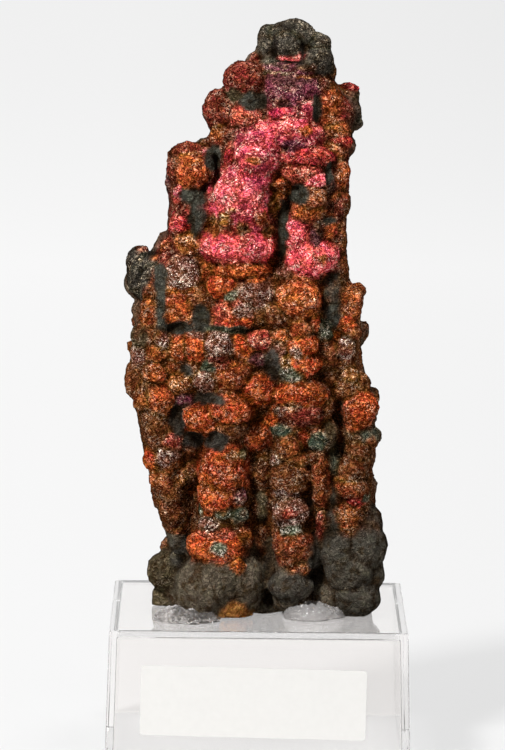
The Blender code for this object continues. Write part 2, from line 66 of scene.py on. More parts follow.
# Lights, in metres and watts: (name, place, size, power)
LIGHTS = (
    ("key", (-0.45, -0.7, 0.85), (0.18, 0.18), 16.5),
    ("fill", (0.75, -0.6, 0.35), (0.2, 0.4), 0.6),
    ("top", (0.1, 0, 0.9), (0.3, 0.2), 4.5),
)
LIGHT_AIM = Vector((0.0, 0.0, 0.075))
SKY_STRENGTH = 0.18

# Turns of a light path, enough for the block's thin walls
LIGHT_TURNS = 28

# The floor, in metres: half its width, and the lines where it starts, bends and ends
FLOOR_WIDTH = 3.0
FLOOR_FRONT = -2.4
FLOOR_BEND = 1.7
FLOOR_RADIUS = 1.0
FLOOR_STEPS = 12
FLOOR_TOP = 3.0

# The floor's glow along y, along x and under the block: (from, to, glow at from, glow at to)
GLOW_NEAR = (-0.3, -0.06, 0.02, 0.61)
GLOW_FAR = (0.02, 0.7, 0, 0.165)
GLOW_ASIDE = (-0.05, 0.12, 0, -0.04)
GLOW_UNDER_X = (0.02, 0.032, 0.1, 0)
GLOW_UNDER_Y = (0.018, 0.03, 1, 0)

# The specimen's mesh: voxel, wobble of the round shapes, spread of the listed lumps
VOXEL = 0.5
WOBBLE = 0.35
WOBBLE_SCALE = 3.2
PIT_WOBBLE = 1.1
PIT_WOBBLE_SCALE = 2.2
SPREAD = 1.22
LEAST_DEPTH = 1.15

# Rings of the columns and of the mass: (corners, squareness), and the columns' domes
COLUMN_RING = (24, 1)
COLUMN_DOME = 0.8
MASS_RING = (40, 0.75)

# Rounds of smoothing: of the voxel steps, and to find the ridges and the valleys
STEP_ROUNDS = 1
RIDGE_ROUNDS = 14
VALLEY_ROUNDS = 40

# Creased grains: (scale, seed, height on plain stone, more height under the film)
CREASES = ((1.7, 3, 0.15, 0.5), (0.9, 7, 0.15, 0.6))
CREASE_LEVEL = 0.2
SWELL = (3.5, 1)
SWELL_HEIGHT = 0.45

# Seams between lumps, and where they end, in lump radii from a lump's middle
SEAM_WIDTH = 0.27
SEAM_DEPTH = 0.28
SEAM_SHARE = (0.4, 0.6)
SEAM_SPAN = 4.0
SEAM_END = 1.4
SEAM_END_SLOPE = 6.0
FAR_OFF = 9.0
SEAMLESS_SIZE = 4.0

# Rays that find how much sky a point sees
SKY_SEED = 5
SKY_RAYS = 10
SKY_REACH = 9.0
SKY_SPREAD = 0.9
SKY_LIFT = 0.08

# Columns of the core, bottom to top: (z, x, y, half width, half depth)
FAT_COLUMN = (
    (1, -7.3, -5, 5.8, 9), (8, -6.8, -6, 6.4, 9.8), (14, -6.3, -5.5, 5.6, 9.2),
    (21, -5.8, -5.5, 5.2, 8.8), (30, -5.8, -5, 5.2, 8), (36, -6.4, -5, 6, 9), (45, -7, -5, 6.6, 9.2),
    (56, -6.2, -4.5, 6.2, 8.8), (63, -4.4, -4.2, 5.4, 9.2), (71, -4.2, -3.8, 4.8, 9.2),
    (79, -2.6, -3, 5, 9.4), (84, -1.4, -2.4, 5.8, 9.4), (89, -3.2, -1.2, 5, 7.6),
    (94, -2.4, -0.6, 3, 6.4),
)
MIDDLE_COLUMN = (
    (4, 5.4, -6, 3.6, 7), (11, 5.5, -6, 3.8, 8.4), (20, 5.1, -6, 3.8, 8.4), (30, 4.9, -5.5, 3.8, 8),
    (38, 6.2, -5.2, 4.6, 9), (47, 6.6, -5.2, 4.2, 9), (56, 6.4, -4.6, 3.8, 9.2),
    (63, 7.8, -3.8, 3.4, 8.6), (70, 8.4, -3.4, 3.6, 8.6), (77, 7.4, -3, 5, 9),
    (84, 5.6, -2.4, 5.6, 9.4), (90, 4.4, -1.2, 5, 7.6), (96, 5.2, -0.4, 5.2, 5.6),
    (99.5, 5, 0, 4.6, 4.8),
)
LEFT_COLUMN = (
    (15, -13.6, -1.5, 2.4, 8), (20, -14.8, -2, 3.4, 8.8), (29, -16, -2.6, 3.8, 9.2),
    (37, -17.6, -2.6, 4.2, 9.2), (44, -18.4, -2.6, 4.2, 9.2), (52, -17.6, -2.8, 3.8, 9.2),
    (59, -16.4, -2.8, 3.9, 8.6), (62, -15.4, -2.6, 3.4, 8),
)
SHOULDER_COLUMN = (
    (60, -13.2, -2.4, 3.4, 8.6), (68, -13.2, -2.2, 3, 8), (74, -13.2, -2, 2.9, 7.6),
    (79, -12.4, -1.6, 2.8, 7.6),
)
THIN_COLUMN = (
    (12, 10.4, -5.4, 1.8, 6.4), (24, 10.5, -6.2, 1.9, 7.4), (34, 10.3, -6.2, 1.9, 7.4),
)
RIGHT_COLUMN = (
    (1, 15.4, -3, 3.8, 8), (8, 16.2, -4, 4.6, 9.4), (16, 16, -4.2, 4.2, 9.2), (24, 15.8, -4, 3.6, 8.8),
    (32, 16.4, -3.6, 3.4, 8.4), (38, 16.2, -3.4, 3.2, 8.4), (45, 14.4, -3, 2.6, 7.8),
    (53, 14.4, -3, 2.4, 8), (60, 12.6, -2.6, 1.8, 7.8), (68, 12.4, -2.4, 1.7, 7.6),
    (76, 12.4, -2.2, 1.9, 7.6), (83, 12.4, -1.6, 2.2, 7.2), (89, 13, -0.8, 2.2, 6.2),
)
COLUMNS = (FAT_COLUMN, MIDDLE_COLUMN, LEFT_COLUMN, SHOULDER_COLUMN, THIN_COLUMN, RIGHT_COLUMN)

# The mass behind the columns: (z, left x, right x, front y, back y)
BACK_MASS = (
    (2.5, -16.6, 18.2, -8, 12), (8, -17.8, 20.2, -8.5, 14), (14, -15.8, 19.8, -8.5, 15),
    (20, -17.4, 19, -8.5, 15.5), (28, -19, 18.6, -9, 15.5), (33, -19.4, 18.8, -9.8, 15.5),
    (37, -20.4, 18.8, -11.5, 15), (43, -22, 16.6, -12.6, 15), (50, -20.6, 16.4, -13, 14.5),
    (57, -19.8, 15.4, -12.6, 14), (61, -17.8, 14, -11.5, 13.5), (64, -16.4, 13.4, -8.5, 13.5),
    (70, -15.2, 13.4, -7, 13), (76, -15.2, 13.6, -8.5, 12.5), (80, -14.2, 13, -9.5, 12),
    (83, -9.4, 13.2, -11, 11.5), (88, -8.2, 14.4, -8, 10), (92.5, -6, 12, -7, 8.5),
    (97, -1.4, 10.2, -4.5, 7), (100.5, 0.6, 8.6, -3, 5.5),
)

# A dark chunk stands out at the left edge: (z, x, y, half width, half depth)
CHUNK = (
    (57.4, -21.2, 0, 1.2, 3), (59.5, -21.4, -0.4, 1.8, 3.6), (61.8, -21.5, -0.6, 2, 3.8),
    (62.6, -21, -0.4, 1.9, 3.2),
)

# Finishes of the crust: colour, share of the iridescent film, share of pale glitter and painted sheen
FINISHES = {
    "ash": ((0.108, 0.086, 0.06), 0.05, 0.02),
    "soot": ((0.064, 0.056, 0.046), 0.05, 0),
    "slate": ((0.058, 0.057, 0.045), 0, 0),
    "jet": ((0.048, 0.042, 0.034), 0.4, 0.4),
    # Painted shade of the dark hollow ring round the head's inner ball
    "ring_shade": ((0.022, 0.018, 0.014), 0, 0),
    "basalt": ((0.061, 0.054, 0.043), 0, 0.02),
    "olive": ((0.076, 0.057, 0.03), 0.25, 0.3),
    "umber": ((0.16, 0.046, 0.013), 0.7, 0.38),
    "rust": ((0.245, 0.052, 0.014), 0.9, 0.45),
    "maroon": ((0.19, 0.029, 0.017), 0.9, 0.4),
    "bronze": ((0.28, 0.074, 0.017), 0.9, 0.5),
    "copper": ((0.31, 0.07, 0.016), 0.9, 0.45),
    "orange": ((0.45, 0.098, 0.022), 1, 0.5),
    "ember": ((0.475, 0.08, 0.019), 1, 0.38),
    "gold": ((0.36, 0.112, 0.02), 0.9, 0.78),
    "straw": ((0.26, 0.15, 0.075), 0.7, 1),
    "crimson": ((0.44, 0.031, 0.03), 1, 0.35),
    "salmon": ((0.455, 0.074, 0.044), 1, 0.6),
    "pink": ((0.92, 0.088, 0.104), 0.78, 0.88),
    "blush": ((1, 0.125, 0.142), 0.74, 0.95),
    "rose": ((0.58, 0.05, 0.082), 0.8, 0.76),
    "magenta": ((0.5, 0.024, 0.058), 0.85, 0.5),
    "mauve": ((0.212, 0.043, 0.076), 0.9, 0.62),
    "plum": ((0.1, 0.03, 0.034), 0.8, 0.3),
    "silver": ((0.175, 0.055, 0.026), 0.8, 1),
    "jade": ((0.095, 0.105, 0.065), 0.6, 1),
    "teal": ((0.065, 0.085, 0.062), 0.4, 0.5),
    "ochre": ((0.4, 0.16, 0.045), 0, 0.05),
}

# Patterns of the crust per metre, and how far its grains are squeezed
GRAINS = 3000.0
GRAIN_STRETCH = (1, 1, 1.2)
WIDE_CRINKLES = 760.0
FINE_CRINKLES = 1900.0
BLOTCHES = 620.0
CLUSTERS = 420.0
DRIFTS = 380.0

# What makes a grain pale: wide crinkles' tops and fine ones' edges, as painted highlight and shade, and
# its own draw
WIDE_SHARE = 0.30
EDGE_SHARE = 0.50
GRAIN_SHARE = 0.18

# Colours that the crust's own colour is multiplied with, or turned to; SHADE and the crevice colour are
# painted shade, the gleams a painted highlight
DULL = (0.52, 0.42, 0.32, 1)
BRIGHT = (1.25, 1.3, 1.2, 1)
BROWNED = (0.62, 1.25, 0.75, 1)
SHADE = (0.33, 0.23, 0.15, 1)
PAINTED_CREVICE_SHADE = (0.085, 0.052, 0.028, 1)
CREAM = (1, 0.84, 0.66, 1)
CREAM_SHARE = 0.85
WARM_PAINTED_GLEAM = (1, 0.78, 0.5, 1)
WHITE_PAINTED_GLEAM = (1, 0.92, 0.84, 1)

# Brightness of the darkest and the brightest grains: (on stone, under the film)
DARKEST = (0.72, 0.42)
BRIGHTEST = (1.62, 3.25)
HUE_DRAW = 0.020

# Painted sheen highlight and pale grains: (without glitter, with full glitter)
PAINTED_SHEEN = (0.01, 1.6)
PALE = (0.04, 1.2)

# Metal under the film and in pale grains, roughness of the grains, and tip of their facets
FILM_METAL = 0.12
PALE_METAL = 0.7
GRAIN_ROUGHNESS = (0.22, 0.45)
FACET_TIP = (0.2, 0.3)

# How light the crust is at each height, against its finish's own colour
GAIN_HEIGHTS = (9, 13, 17, 27, 38, 46, 60, 76, 84, 94, 98)
GAINS = (1.12, 1.12, 0.88, 0.9, 0.93, 1.14, 1.14, 1.08, 1, 1, 1.22)

# Finishes of lumps that have grown together without a seam
SEAMLESS = ("rose", "blush", "pink")

# Grounds between the lumps: (finish, lowest z, highest z), and their share and soft edge
GROUNDS = (("ash", -9, 14), ("umber", 14, 60), ("maroon", 60, 94), ("ash", 94, 120))
GROUND_SHARE = 0.02
GROUND_BLEND = 2.0

# The back's finish, and the y where it starts and how soon it is full
BACK_FINISH = "ash"
BACK_SHARE = 0.05
BACK_START = -4.0
BACK_BLEND = 6.0
LEAST_SHARE = 1e-4

# How finishes run into each other: wavy borders, and shares that fall off past a lump or patch
BORDER_SCALE = 1.7
BORDER_WAVE = 0.55
FALL = 9.0
FALL_END = 9.0
LUMP_EDGE = (0.75, 0.3)
PATCH_EDGE = (0.6, 0.2)
PATCH_WEIGHT = 60.0
PATCH_DEPTH = 7.0

# The rim, where the surface turns away to the back: start and blend, darker as painted shade, and
# duller
RIM_TURN = (-0.4, 0.4)
RIM_BACK = (-2, 8)
RIM_BACK_SHARE = 0.6
RIM_PAINTED_SHADE = 0.6
RIM_DULL = 0.5

# Lumps on the front, by finish and from the top down:
# (x, z, half width, half height, how far it stands out)
LUMPS = {
    "jet": (
        (3.9, 99.4, 2.2, 2.2, 3), (4.6, 100.9, 3.4, 2.2, 2), (0.9, 99.2, 1.9, 3, 2.6),
        (1.3, 102, 1.1, 0.9, 1.4), (8.8, 99.5, 2.4, 1.8, 2.6), (9, 96.7, 2.4, 2.3, 2.8),
        (1.2, 96.3, 1.4, 0.7, 1.6), (15.2, 88, 1.3, 2.6, 0.5), (15.6, 85.9, 1.3, 1, 0.3),
        (15.7, 91, 0.6, 0.6, 0.1), (-22.3, 62, 1.2, 1.2, 0.5), (-22, 58.8, 1.1, 1.5, 0.5),
        (-21.5, 57.2, 0.9, 0.9, 0.3),
    ),
    "pink": (
        (4.6, 97.2, 2, 0.8, 1.2), (8.9, 76.2, 1.6, 1.3, 1.5), (-4.2, 64.8, 5.3, 3, 2.6),
        (6.2, 67.3, 2.1, 2.6, 2), (8.3, 62.6, 3.5, 2.6, 2),
    ),
    "salmon": (
        (2.2, 98, 0.7, 0.7, 1.5), (-3.3, 86.9, 2.1, 1.3, 1.6), (6.4, 77.6, 3.2, 1.4, 1.6),
        (-4.6, 53.1, 3.1, 2.4, 2.2), (-0.8, 48.4, 2, 1.3, 1.9), (-15.3, 30.3, 1.6, 1.5, 1.4),
    ),
    "mauve": (
        (2.6, 95.3, 2.7, 0.5, 1.6), (4.4, 90.6, 4.3, 4.6, 1.4), (-13, 38.2, 1.8, 1.4, 1.1),
        (-3.8, 21.4, 1.5, 1.3, 1.5),
    ),
    "silver": (
        (6.6, 95.3, 1.6, 0.5, 1.6), (-13.5, 59.4, 2.6, 2.6, 1.9), (-1.6, 56.6, 2.9, 2.9, 2.2),
        (-17, 47.8, 1, 1.3, 1.1), (-7.3, 47.2, 2, 2, 2), (-20.7, 46, 1.5, 2.2, 1),
        (-9.5, 41, 1.7, 1.6, 1.4), (5, 60.5, 2.5, 1.2, 1.3), (14.4, 47, 1.5, 1.6, 1.1),
        (-8.5, 16.4, 1.8, 1.2, 1.2), (3, 27.5, 1.3, 1.1, 1.2), (5.4, 18.5, 2.7, 2, 1.8),
    ),
    "umber": (
        (10.2, 94.9, 1.6, 1.3, 0.8), (-17, 66.3, 0.7, 0.6, 0.1), (13.5, 72.4, 1.1, 2.4, 0.5),
        (13.2, 66.4, 1.1, 2.7, 0.5), (13.4, 61.2, 1.1, 2.2, 0.5), (-21.6, 41, 1.6, 2.6, 0.6),
        (-21.6, 51.4, 0.8, 1, 0.4), (-22, 47, 0.9, 0.9, 0.3), (11.1, 46, 2.2, 3, 1.3),
        (16.6, 57, 0.9, 1.4, 0.3), (17.3, 50.2, 0.9, 1.4, 0.4), (19.4, 38.5, 0.9, 1.8, 0.4),
        (-5, 33.3, 2.3, 1.4, 1.7), (-18.3, 33, 1.7, 2.8, 0.9), (-15.6, 18.2, 1.6, 1.6, 0.8),
        (-14, 33.6, 1.3, 3.2, 2.6), (-12.3, 30.6, 1.2, 3, 2.8), (-12, 25.6, 1.2, 2.6, 2.8),
        (0.3, 25.4, 1.1, 2.6, 2.4), (0.2, 14, 1.1, 2.6, 2.2), (5.1, 24.4, 2.9, 2.6, 1.8),
        (15.9, 26.1, 2.3, 2, 1.7), (11.1, 37.4, 1.4, 2.6, 3.6), (9, 17.6, 1.3, 3.2, 2),
        (11.4, 42, 1.5, 2.2, 1.6), (-15.7, 12.5, 1.3, 1.3, 0.8),
    ),
    "maroon": (
        (-1.4, 96, 1.8, 1.6, 1.2), (-3.4, 93.2, 2.9, 2.6, 1.6), (-4.6, 96, 0.8, 0.6, 0.4),
        (-7.2, 87.8, 2.7, 3.3, 1.4), (-8.6, 86.4, 1.2, 1.4, 0.7), (-12.3, 80.6, 3.2, 1.5, 2.4),
        (-15, 78.6, 1.3, 2.8, 2.2), (7, 36, 3.4, 1.9, 1.5), (10.4, 17.2, 0.8, 2.8, 0.8),
    ),
    "magenta": ((3.4, 87.5, 2.4, 1.3, 1.3),),
    "rose": (
        (7.1, 87.9, 1.7, 2.2, 1.2), (-3.8, 71, 4.7, 7.4, 2.3), (-1, 80.4, 3.5, 3.6, 2.6),
        (3.2, 83.8, 5.4, 2.2, 2.5), (-1.9, 79.4, 2.3, 2.1, 3), (-2.8, 76.4, 3.4, 2.6, 2.4),
        (-14.4, 73.9, 0.8, 0.8, 0.9), (-9.7, 79.9, 0.9, 0.9, 1),
    ),
    "bronze": (
        (-7, 83.7, 1.9, 1.5, 1.2), (13.2, 91, 1.9, 1.6, 1.2), (12.4, 84.6, 2.2, 1.3, 0.8),
        (12, 81, 2, 1.5, 1.2), (2.2, 73.2, 1.4, 2.6, 2.4), (-8.2, 69.3, 1.2, 1.4, 2.4),
        (-3.6, 68.6, 1, 0.9, 3.5), (-0.4, 68, 1.9, 1.7, 3.1), (-9.6, 82, 1.6, 1, 1.6),
        (-9.7, 66.8, 1, 1.6, 0.8), (-10.4, 62, 1.3, 1.4, 2.4), (8.5, 73, 1.9, 1.8, 1.7),
        (11.6, 73.6, 1.2, 1.1, 1), (4.7, 30, 1.8, 1.5, 1.4), (6.2, 27.4, 1.5, 1.2, 1.3),
    ),
    "copper": (
        (11, 87.8, 2, 4.2, 1.7), (0.1, 71.6, 2.2, 2.3, 3.3), (-5.2, 71, 0.7, 0.7, 3.3),
        (-15.9, 64.4, 1.3, 1.2, 0.9), (11, 68.3, 1.8, 2.2, 1.6), (-19.2, 57.5, 1.4, 2.8, 1),
        (-19.4, 52.8, 1.3, 2.3, 1), (-15.8, 44, 2.1, 1.4, 1.2), (-5, 42.4, 2.6, 2.5, 1.6),
        (15, 54.8, 2, 2.9, 1.2), (0.3, 28.6, 0.9, 1.3, 1.1), (-17.2, 23.8, 1.7, 1.4, 1),
        (-3, 14, 1.7, 1.9, 1.3), (15, 17.9, 2.2, 1.6, 1.4),
    ),
    "crimson": (
        (14, 92, 2, 0.9, 0.8), (6.2, 80.1, 5, 1.4, 1.7), (13, 82.6, 1.6, 1, 0.8),
        (-5.2, 78.8, 1.5, 2.8, 1.4), (-7.4, 73.6, 1.3, 2.8, 1.2), (-14.5, 72.2, 0.8, 0.7, 0.9),
        (-14.3, 68.5, 1.5, 1.8, 1.4), (16.8, 20.9, 1.5, 0.9, 1.1),
    ),
    "orange": (
        (2.2, 76.2, 1.8, 1.6, 3), (-12.2, 77.4, 2.4, 2.5, 2), (7.3, 70.6, 2.4, 1.4, 1.5),
        (13.2, 77.2, 1.2, 2.1, 0.8), (-18.6, 61, 1.7, 1.5, 1), (-14, 54.2, 2.6, 2.8, 1.9),
        (-9.5, 60, 1.5, 1.7, 1.2), (-3.5, 60.7, 4, 1.2, 1.7), (-14, 47, 1.7, 2, 1.5),
        (-18, 42.8, 1.4, 1.4, 1.1), (-17.2, 38, 2, 2.2, 1.2), (6.5, 55.5, 3.2, 2.8, 2.2),
        (3.3, 49.3, 1.5, 1, 1.3), (-12, 22.2, 1.2, 1.4, 1.3),
    ),
    "blush": ((-3.9, 73.4, 4, 4.2, 2.5),),
    "gold": (
        (-6.2, 69, 1.4, 1.2, 3.3), (-12.3, 65, 2.1, 1.6, 1.6), (4.4, 63.6, 1.1, 1.1, 1.3),
        (-13.5, 40.8, 2, 1.7, 1.4), (15.3, 42.1, 1.3, 1, 1), (-10.7, 28.2, 1, 1, 1),
        (-13.7, 24.5, 1.2, 1.1, 1.1),
    ),
    "plum": ((-15.6, 76, 0.9, 2.8, 1.2), (-20.5, 63.5, 0.8, 0.8, 0.6), (-0.7, 45.2, 1.9, 1.2, 1.2)),
    "slate": (
        (-12.7, 73, 1.6, 1.2, 1), (-10.9, 70, 1.5, 4.6, 4.6), (11, 76.6, 1, 2.4, 2),
        (12, 57.6, 1.2, 3, 2.6), (12, 53.2, 1.2, 2.2, 2.2), (-12.6, 36.6, 1, 1.4, 1.4),
        (12.6, 22.4, 1.3, 2.8, 5), (12.7, 17.6, 1.3, 2.8, 4.8), (9.3, 12.2, 1.3, 3, 2.4),
    ),
    "teal": (
        (11.3, 71, 1.3, 0.9, 1), (18.2, 31.8, 2.1, 2.1, 1.1), (3.7, 32.6, 1.3, 0.8, 0.8),
        (-3.8, 18, 1.7, 1.2, 1.3), (9.5, 30.9, 1.2, 1, 1.3), (12.5, 27.6, 1.3, 2.8, 5),
    ),
    "soot": (
        (3.5, 67.4, 1, 4.4, 2.6), (-13.6, 12.8, 1.5, 1.5, 1.4), (5.6, 5.8, 3.3, 2.2, 1.8),
        (9.6, 6.4, 1.6, 3.4, 2.4), (1.2, 9, 1.2, 3, 2),
    ),
    "ember": (
        (-7, 57.6, 2, 1.5, 1.6), (-11, 47.3, 1.9, 2.1, 1.8), (-3.7, 47.3, 2, 1.8, 1.9),
        (-0.7, 39.9, 2.8, 2.5, 2.2), (8.8, 52.1, 1, 1.8, 1.4), (12.8, 49.5, 1.1, 1, 1.2),
        (7.3, 47.5, 2.3, 1.7, 1.9), (7.5, 44.4, 2.5, 1.7, 1.8), (7, 39.2, 3.9, 1.9, 2),
        (17, 36.8, 2.6, 3, 1.7), (-9.8, 34.6, 3.2, 2.3, 2.5), (-5.2, 36.3, 3.2, 2.2, 2.6),
        (-1, 31.9, 2.4, 2.1, 2.4), (-18.5, 27.8, 1.6, 1.8, 1), (-6.3, 25.2, 3.4, 4.6, 2),
        (-7, 21, 3.2, 3.2, 1.7), (-7.5, 12.6, 4.4, 2.5, 2), (-3.8, 9.2, 1, 1.3, 1.3),
        (9.1, 33, 1.6, 1.3, 1.6),
    ),
    "jade": (
        (-5.4, 56, 0.9, 0.8, 1.7), (10.5, 49.5, 1.4, 0.9, 1.2), (5.2, 42.8, 1.8, 1.5, 1.5),
        (-6.2, 18.4, 1.6, 1.1, 1.2), (-9.6, 19, 1.1, 1.1, 1), (5.7, 15.3, 1.7, 1, 1.1),
    ),
    "olive": (
        (-11.7, 16.3, 1.2, 1.1, 1), (0.4, 19.8, 1.1, 2.6, 2.2), (12, 32.4, 1.3, 2.4, 4.4),
        (-16.2, 8.2, 2.6, 2.7, 2.6), (-16.3, 3.1, 1.9, 2.4, 2.2),
    ),
    "straw": ((-3.2, 28.5, 0.7, 0.7, 1.4),),
    "rust": (
        (6, 12.5, 2.9, 2.8, 1.8), (7, 9.5, 1.9, 1.7, 1.3), (10.4, 24, 1.4, 4.4, 1.2),
        (9.4, 28, 1.2, 1, 1.4), (15.9, 22.9, 2.6, 1.6, 1.5),
    ),
    "ash": (
        (-9.2, 5, 4.4, 4.8, 1.8), (-2.3, 6.2, 2.8, 4.4, 1.6), (-3.9, 1.6, 2.6, 1.6, 1.2),
        (12.9, 4.2, 2.7, 3.2, 2.2),
    ),
    "basalt": (
        (13.9, 12.4, 3, 3.6, 1.9), (18, 12.6, 3.2, 3.9, 1.5), (19.2, 8.3, 2.1, 2.6, 1.1),
        (16.9, 3.8, 3.5, 3, 1.8), (15.6, 8.6, 3.6, 3, 1.5), (18.8, 17, 2, 2.6, 0.8),
    ),
    "ochre": ((-3.9, 1, 2.7, 1.1, 1.6),),
}
FRONT_LUMPS = [(*lump, finish) for finish, lumps in LUMPS.items() for lump in lumps]

# Patches of colour over the lumps' own, by finish: (x, z, half width, half height)
PATCHES = {
    # Painted shade: the dark hollow ring round the head's inner ball
    "ring_shade": ((1.6, 99, 0.5, 1.9), (6.3, 98.4, 0.5, 1.5), (3.6, 102.4, 1.8, 0.3), (4.4, 96.3, 2.2, 0.3)),
    "straw": ((2, 94.5, 2.6, 0.35),),
    "gold": (
        (6.8, 93.9, 1.9, 0.35), (-6.6, 70, 0.9, 0.7), (4.2, 45.2, 0.8, 1.2), (5, 37.4, 1, 0.8),
        (-5, 28.6, 1.2, 0.7), (15, 24.6, 2.2, 0.6),
    ),
    "plum": ((4.4, 93.2, 3.6, 0.9), (3.4, 89.3, 1, 0.7), (9.2, 66.2, 1, 1.5)),
    "slate": (
        (-2, 89.6, 2.2, 1.4), (11.4, 69.2, 1.2, 0.8), (11.2, 77.4, 0.6, 2), (-11.9, 73, 2, 1.5),
        (-11.8, 69.2, 0.9, 2.8), (-8.6, 79.6, 1.2, 2), (5.9, 73.6, 1.7, 1.5), (3.4, 68, 0.8, 5),
        (-17.3, 53.6, 0.7, 3.2), (-14.6, 50.4, 2.8, 0.9), (-10.4, 52, 1.2, 2.6),
        (-17.5, 58.6, 0.9, 2.4), (12.2, 52.6, 1, 1.6), (8.9, 88.4, 0.7, 2),
    ),
    "olive": ((-5.2, 90.6, 1.4, 1),),
    "orange": (
        (7.2, 84.6, 1.3, 0.7), (2.7, 74.9, 1.7, 1.7), (-13.8, 56.8, 2.2, 0.7), (-1.2, 59.2, 1.8, 0.6),
        (15.6, 57.6, 1.4, 1.4),
    ),
    "pink": ((0.4, 85.8, 2.4, 0.5), (4.6, 85.9, 4, 0.5)),
    "copper": (
        (-1.8, 79.6, 1.1, 0.8), (-0.6, 69.8, 1.6, 1.3), (-4.2, 24.2, 1, 1.2), (15.2, 16.2, 1.4, 0.7),
    ),
    "mauve": ((5, 82, 1.8, 1),),
    "bronze": (
        (2, 71.9, 1.2, 2), (-8.4, 68.2, 1.7, 1.7), (0.3, 67.5, 1.6, 1.2), (-5.8, 71.2, 0.5, 0.5),
        (10.3, 62.8, 0.9, 0.9), (-14.7, 26.4, 1.4, 1.2),
    ),
    "umber": (
        (-3.5, 67.5, 1.1, 0.9), (11.2, 42.2, 1.6, 2.2), (8.2, 16.6, 0.9, 1.6), (18.6, 24, 1, 3),
        (19, 30, 1.2, 2.4),
    ),
    "salmon": ((-5.8, 67.6, 1.3, 0.9), (-7.2, 14.6, 3, 0.7), (5.4, 18.4, 1.2, 0.9)),
    "silver": (
        (9.6, 67.6, 0.9, 1.2), (-3.2, 53.6, 1.6, 1.2), (-10.9, 49.1, 1.4, 0.6), (6, 46.4, 0.9, 0.9),
        (3.2, 36.2, 1, 1), (4.6, 21.6, 2.2, 0.8),
    ),
    "teal": ((-6, 50.1, 3.2, 0.6), (-9, 43.6, 1.2, 0.8), (9.6, 31.2, 1.6, 1.4), (3.4, 32.9, 1.7, 0.9)),
    "ember": ((-4, 51.6, 2.6, 0.8), (14.6, 51.4, 1.2, 1)),
    "maroon": ((-7.2, 44.6, 2, 0.9), (-20.6, 63.6, 0.9, 0.7)),
    "soot": (
        (-12.9, 43.2, 1.3, 0.9), (-9, 38, 2.9, 0.8), (2, 44.4, 1.3, 2.4), (-7.5, 31, 1.6, 1.6),
        (-11.5, 31.4, 1.6, 1.6), (-14.2, 34.6, 1.2, 3), (-12, 13.2, 1.6, 1.6), (9.3, 10.4, 1, 4.6),
    ),
    "jade": (
        (10.8, 51, 0.9, 1.2), (-7, 12.3, 1.6, 1.1), (-14.1, 1.5, 0.9, 0.9), (18.2, 21.4, 0.9, 0.7),
    ),
    "ochre": ((-4.2, 1, 2.4, 1.5),),
    "jet": ((-20.6, 60.2, 2.6, 4.6),),
}

# Pits and crevices on the front: (x, z, half width, half height, depth)
PITS = (
    (-1.6, 89.6, 1.4, 0.8, 0.5), (-0.5, 87.6, 0.6, 1.2, 0.8), (8.6, 88.4, 0.4, 2, 0.7),
    (-8, 77.4, 0.7, 3.6, 2.6), (-9.7, 70.4, 0.3, 3.6, 0.8), (4.6, 75, 1.3, 0.7, 1.6),
    (5.8, 74.2, 0.8, 1, 1.4), (3.6, 69.4, 0.6, 4.6, 2.2), (2.8, 62.8, 0.6, 3.4, 2.4),
    (9.2, 66.2, 0.6, 1, 0.6), (11.7, 60.6, 0.35, 4, 0.7), (-17.3, 53.6, 0.5, 3.2, 0.8),
    (-14.6, 50.4, 2.6, 0.5, 0.9), (-10.4, 51.6, 0.7, 1.8, 0.7), (-6.5, 50, 3.4, 0.4, 1),
    (6.3, 51.5, 0.9, 0.5, 0.9), (1.8, 43.6, 0.5, 1.4, 1.2), (1.9, 48, 0.35, 2.4, 1.2),
    (-12.9, 43.2, 0.7, 0.5, 0.7), (-9, 43.6, 0.7, 0.4, 0.7), (-9, 38, 2.6, 0.5, 1),
    (-7.3, 31, 0.4, 1.4, 1), (12.6, 38, 0.35, 3, 1.2), (-13, 6, 0.35, 3, 2.4),
    (2.2, 3.2, 0.9, 1.8, 1.6),
)

# Seed of the wobble on every round shape
NOISE_SEED = 7

# Lumps that fill the front between the listed ones
FILL_SEED = 4
FILL_ROWS = 33
FILL_COLUMNS = 15
FILL_STEP = 3.0
FILL_LEFT = -23.0
FILL_BOTTOM = 1.5
FILL_SHIFT = (-0.8, 0.8)
FILL_SIZE = (1.5, 2.6)
FILL_STRETCH = (0.9, 1.3)
FILL_ROOM = 0.3
FILL_FACING = 0.45
FILL_STAND = (0.14, 0.46)

# Their finishes, above the lowest z of each zone
FILL_ZONES = (
    (94.5, ("jet", "soot")),
    (60, ("maroon", "crimson", "umber", "maroon", "bronze", "maroon")),
    (17, ("umber", "copper", "bronze", "umber", "ember", "silver", "umber", "rust", "olive")),
    (-2, ("ash", "soot", "olive")),
)

# Lumps on the sides and the back, set by a seeded loop
BACK_SEED = 11
BACK_LUMPS = 190
BACK_ARC = (-8, 188)
BACK_HEIGHTS = (2, 98)
BACK_RADIUS = (1.6, 4.4)
BACK_TAPER = 0.3
BACK_STRETCH = (0.8, 1.2)
BACK_FROM = 60.0
BACK_AXIS_Y = 3.0
BACK_STAND = 0.70
SIDE_STAND_LESS = 0.42
TOP_HEIGHT = 100.0

# Glue blobs: (x, y, half width, half depth, height, seed, clarity)
GLUE = {
    "glue_left": (-12.2, -14.2, 5.8, 6.6, 1.9, 3, 0.95),
    "glue_right": (9.3, -10.6, 5.4, 5.8, 2.6, 8, 0.78),
}

# The glue's uneven outline, folds and creases: (scale, size)
GLUE_OUTLINE = (3, 0.9)
GLUE_FOLD = (1.3, 0.7)
GLUE_CREASE = (0.8, 0.9)
GLUE_EDGE = 0.6
GLUE_SUBDIVISIONS = 6


def sight(x, z, y):
    """The point at depth y that a viewer sees at x and z on the face plane."""
    seen = Vector((x, FACE_PLANE, z))
    part = (y - EYE.y) / (FACE_PLANE - EYE.y)
    return EYE.lerp(seen, part)


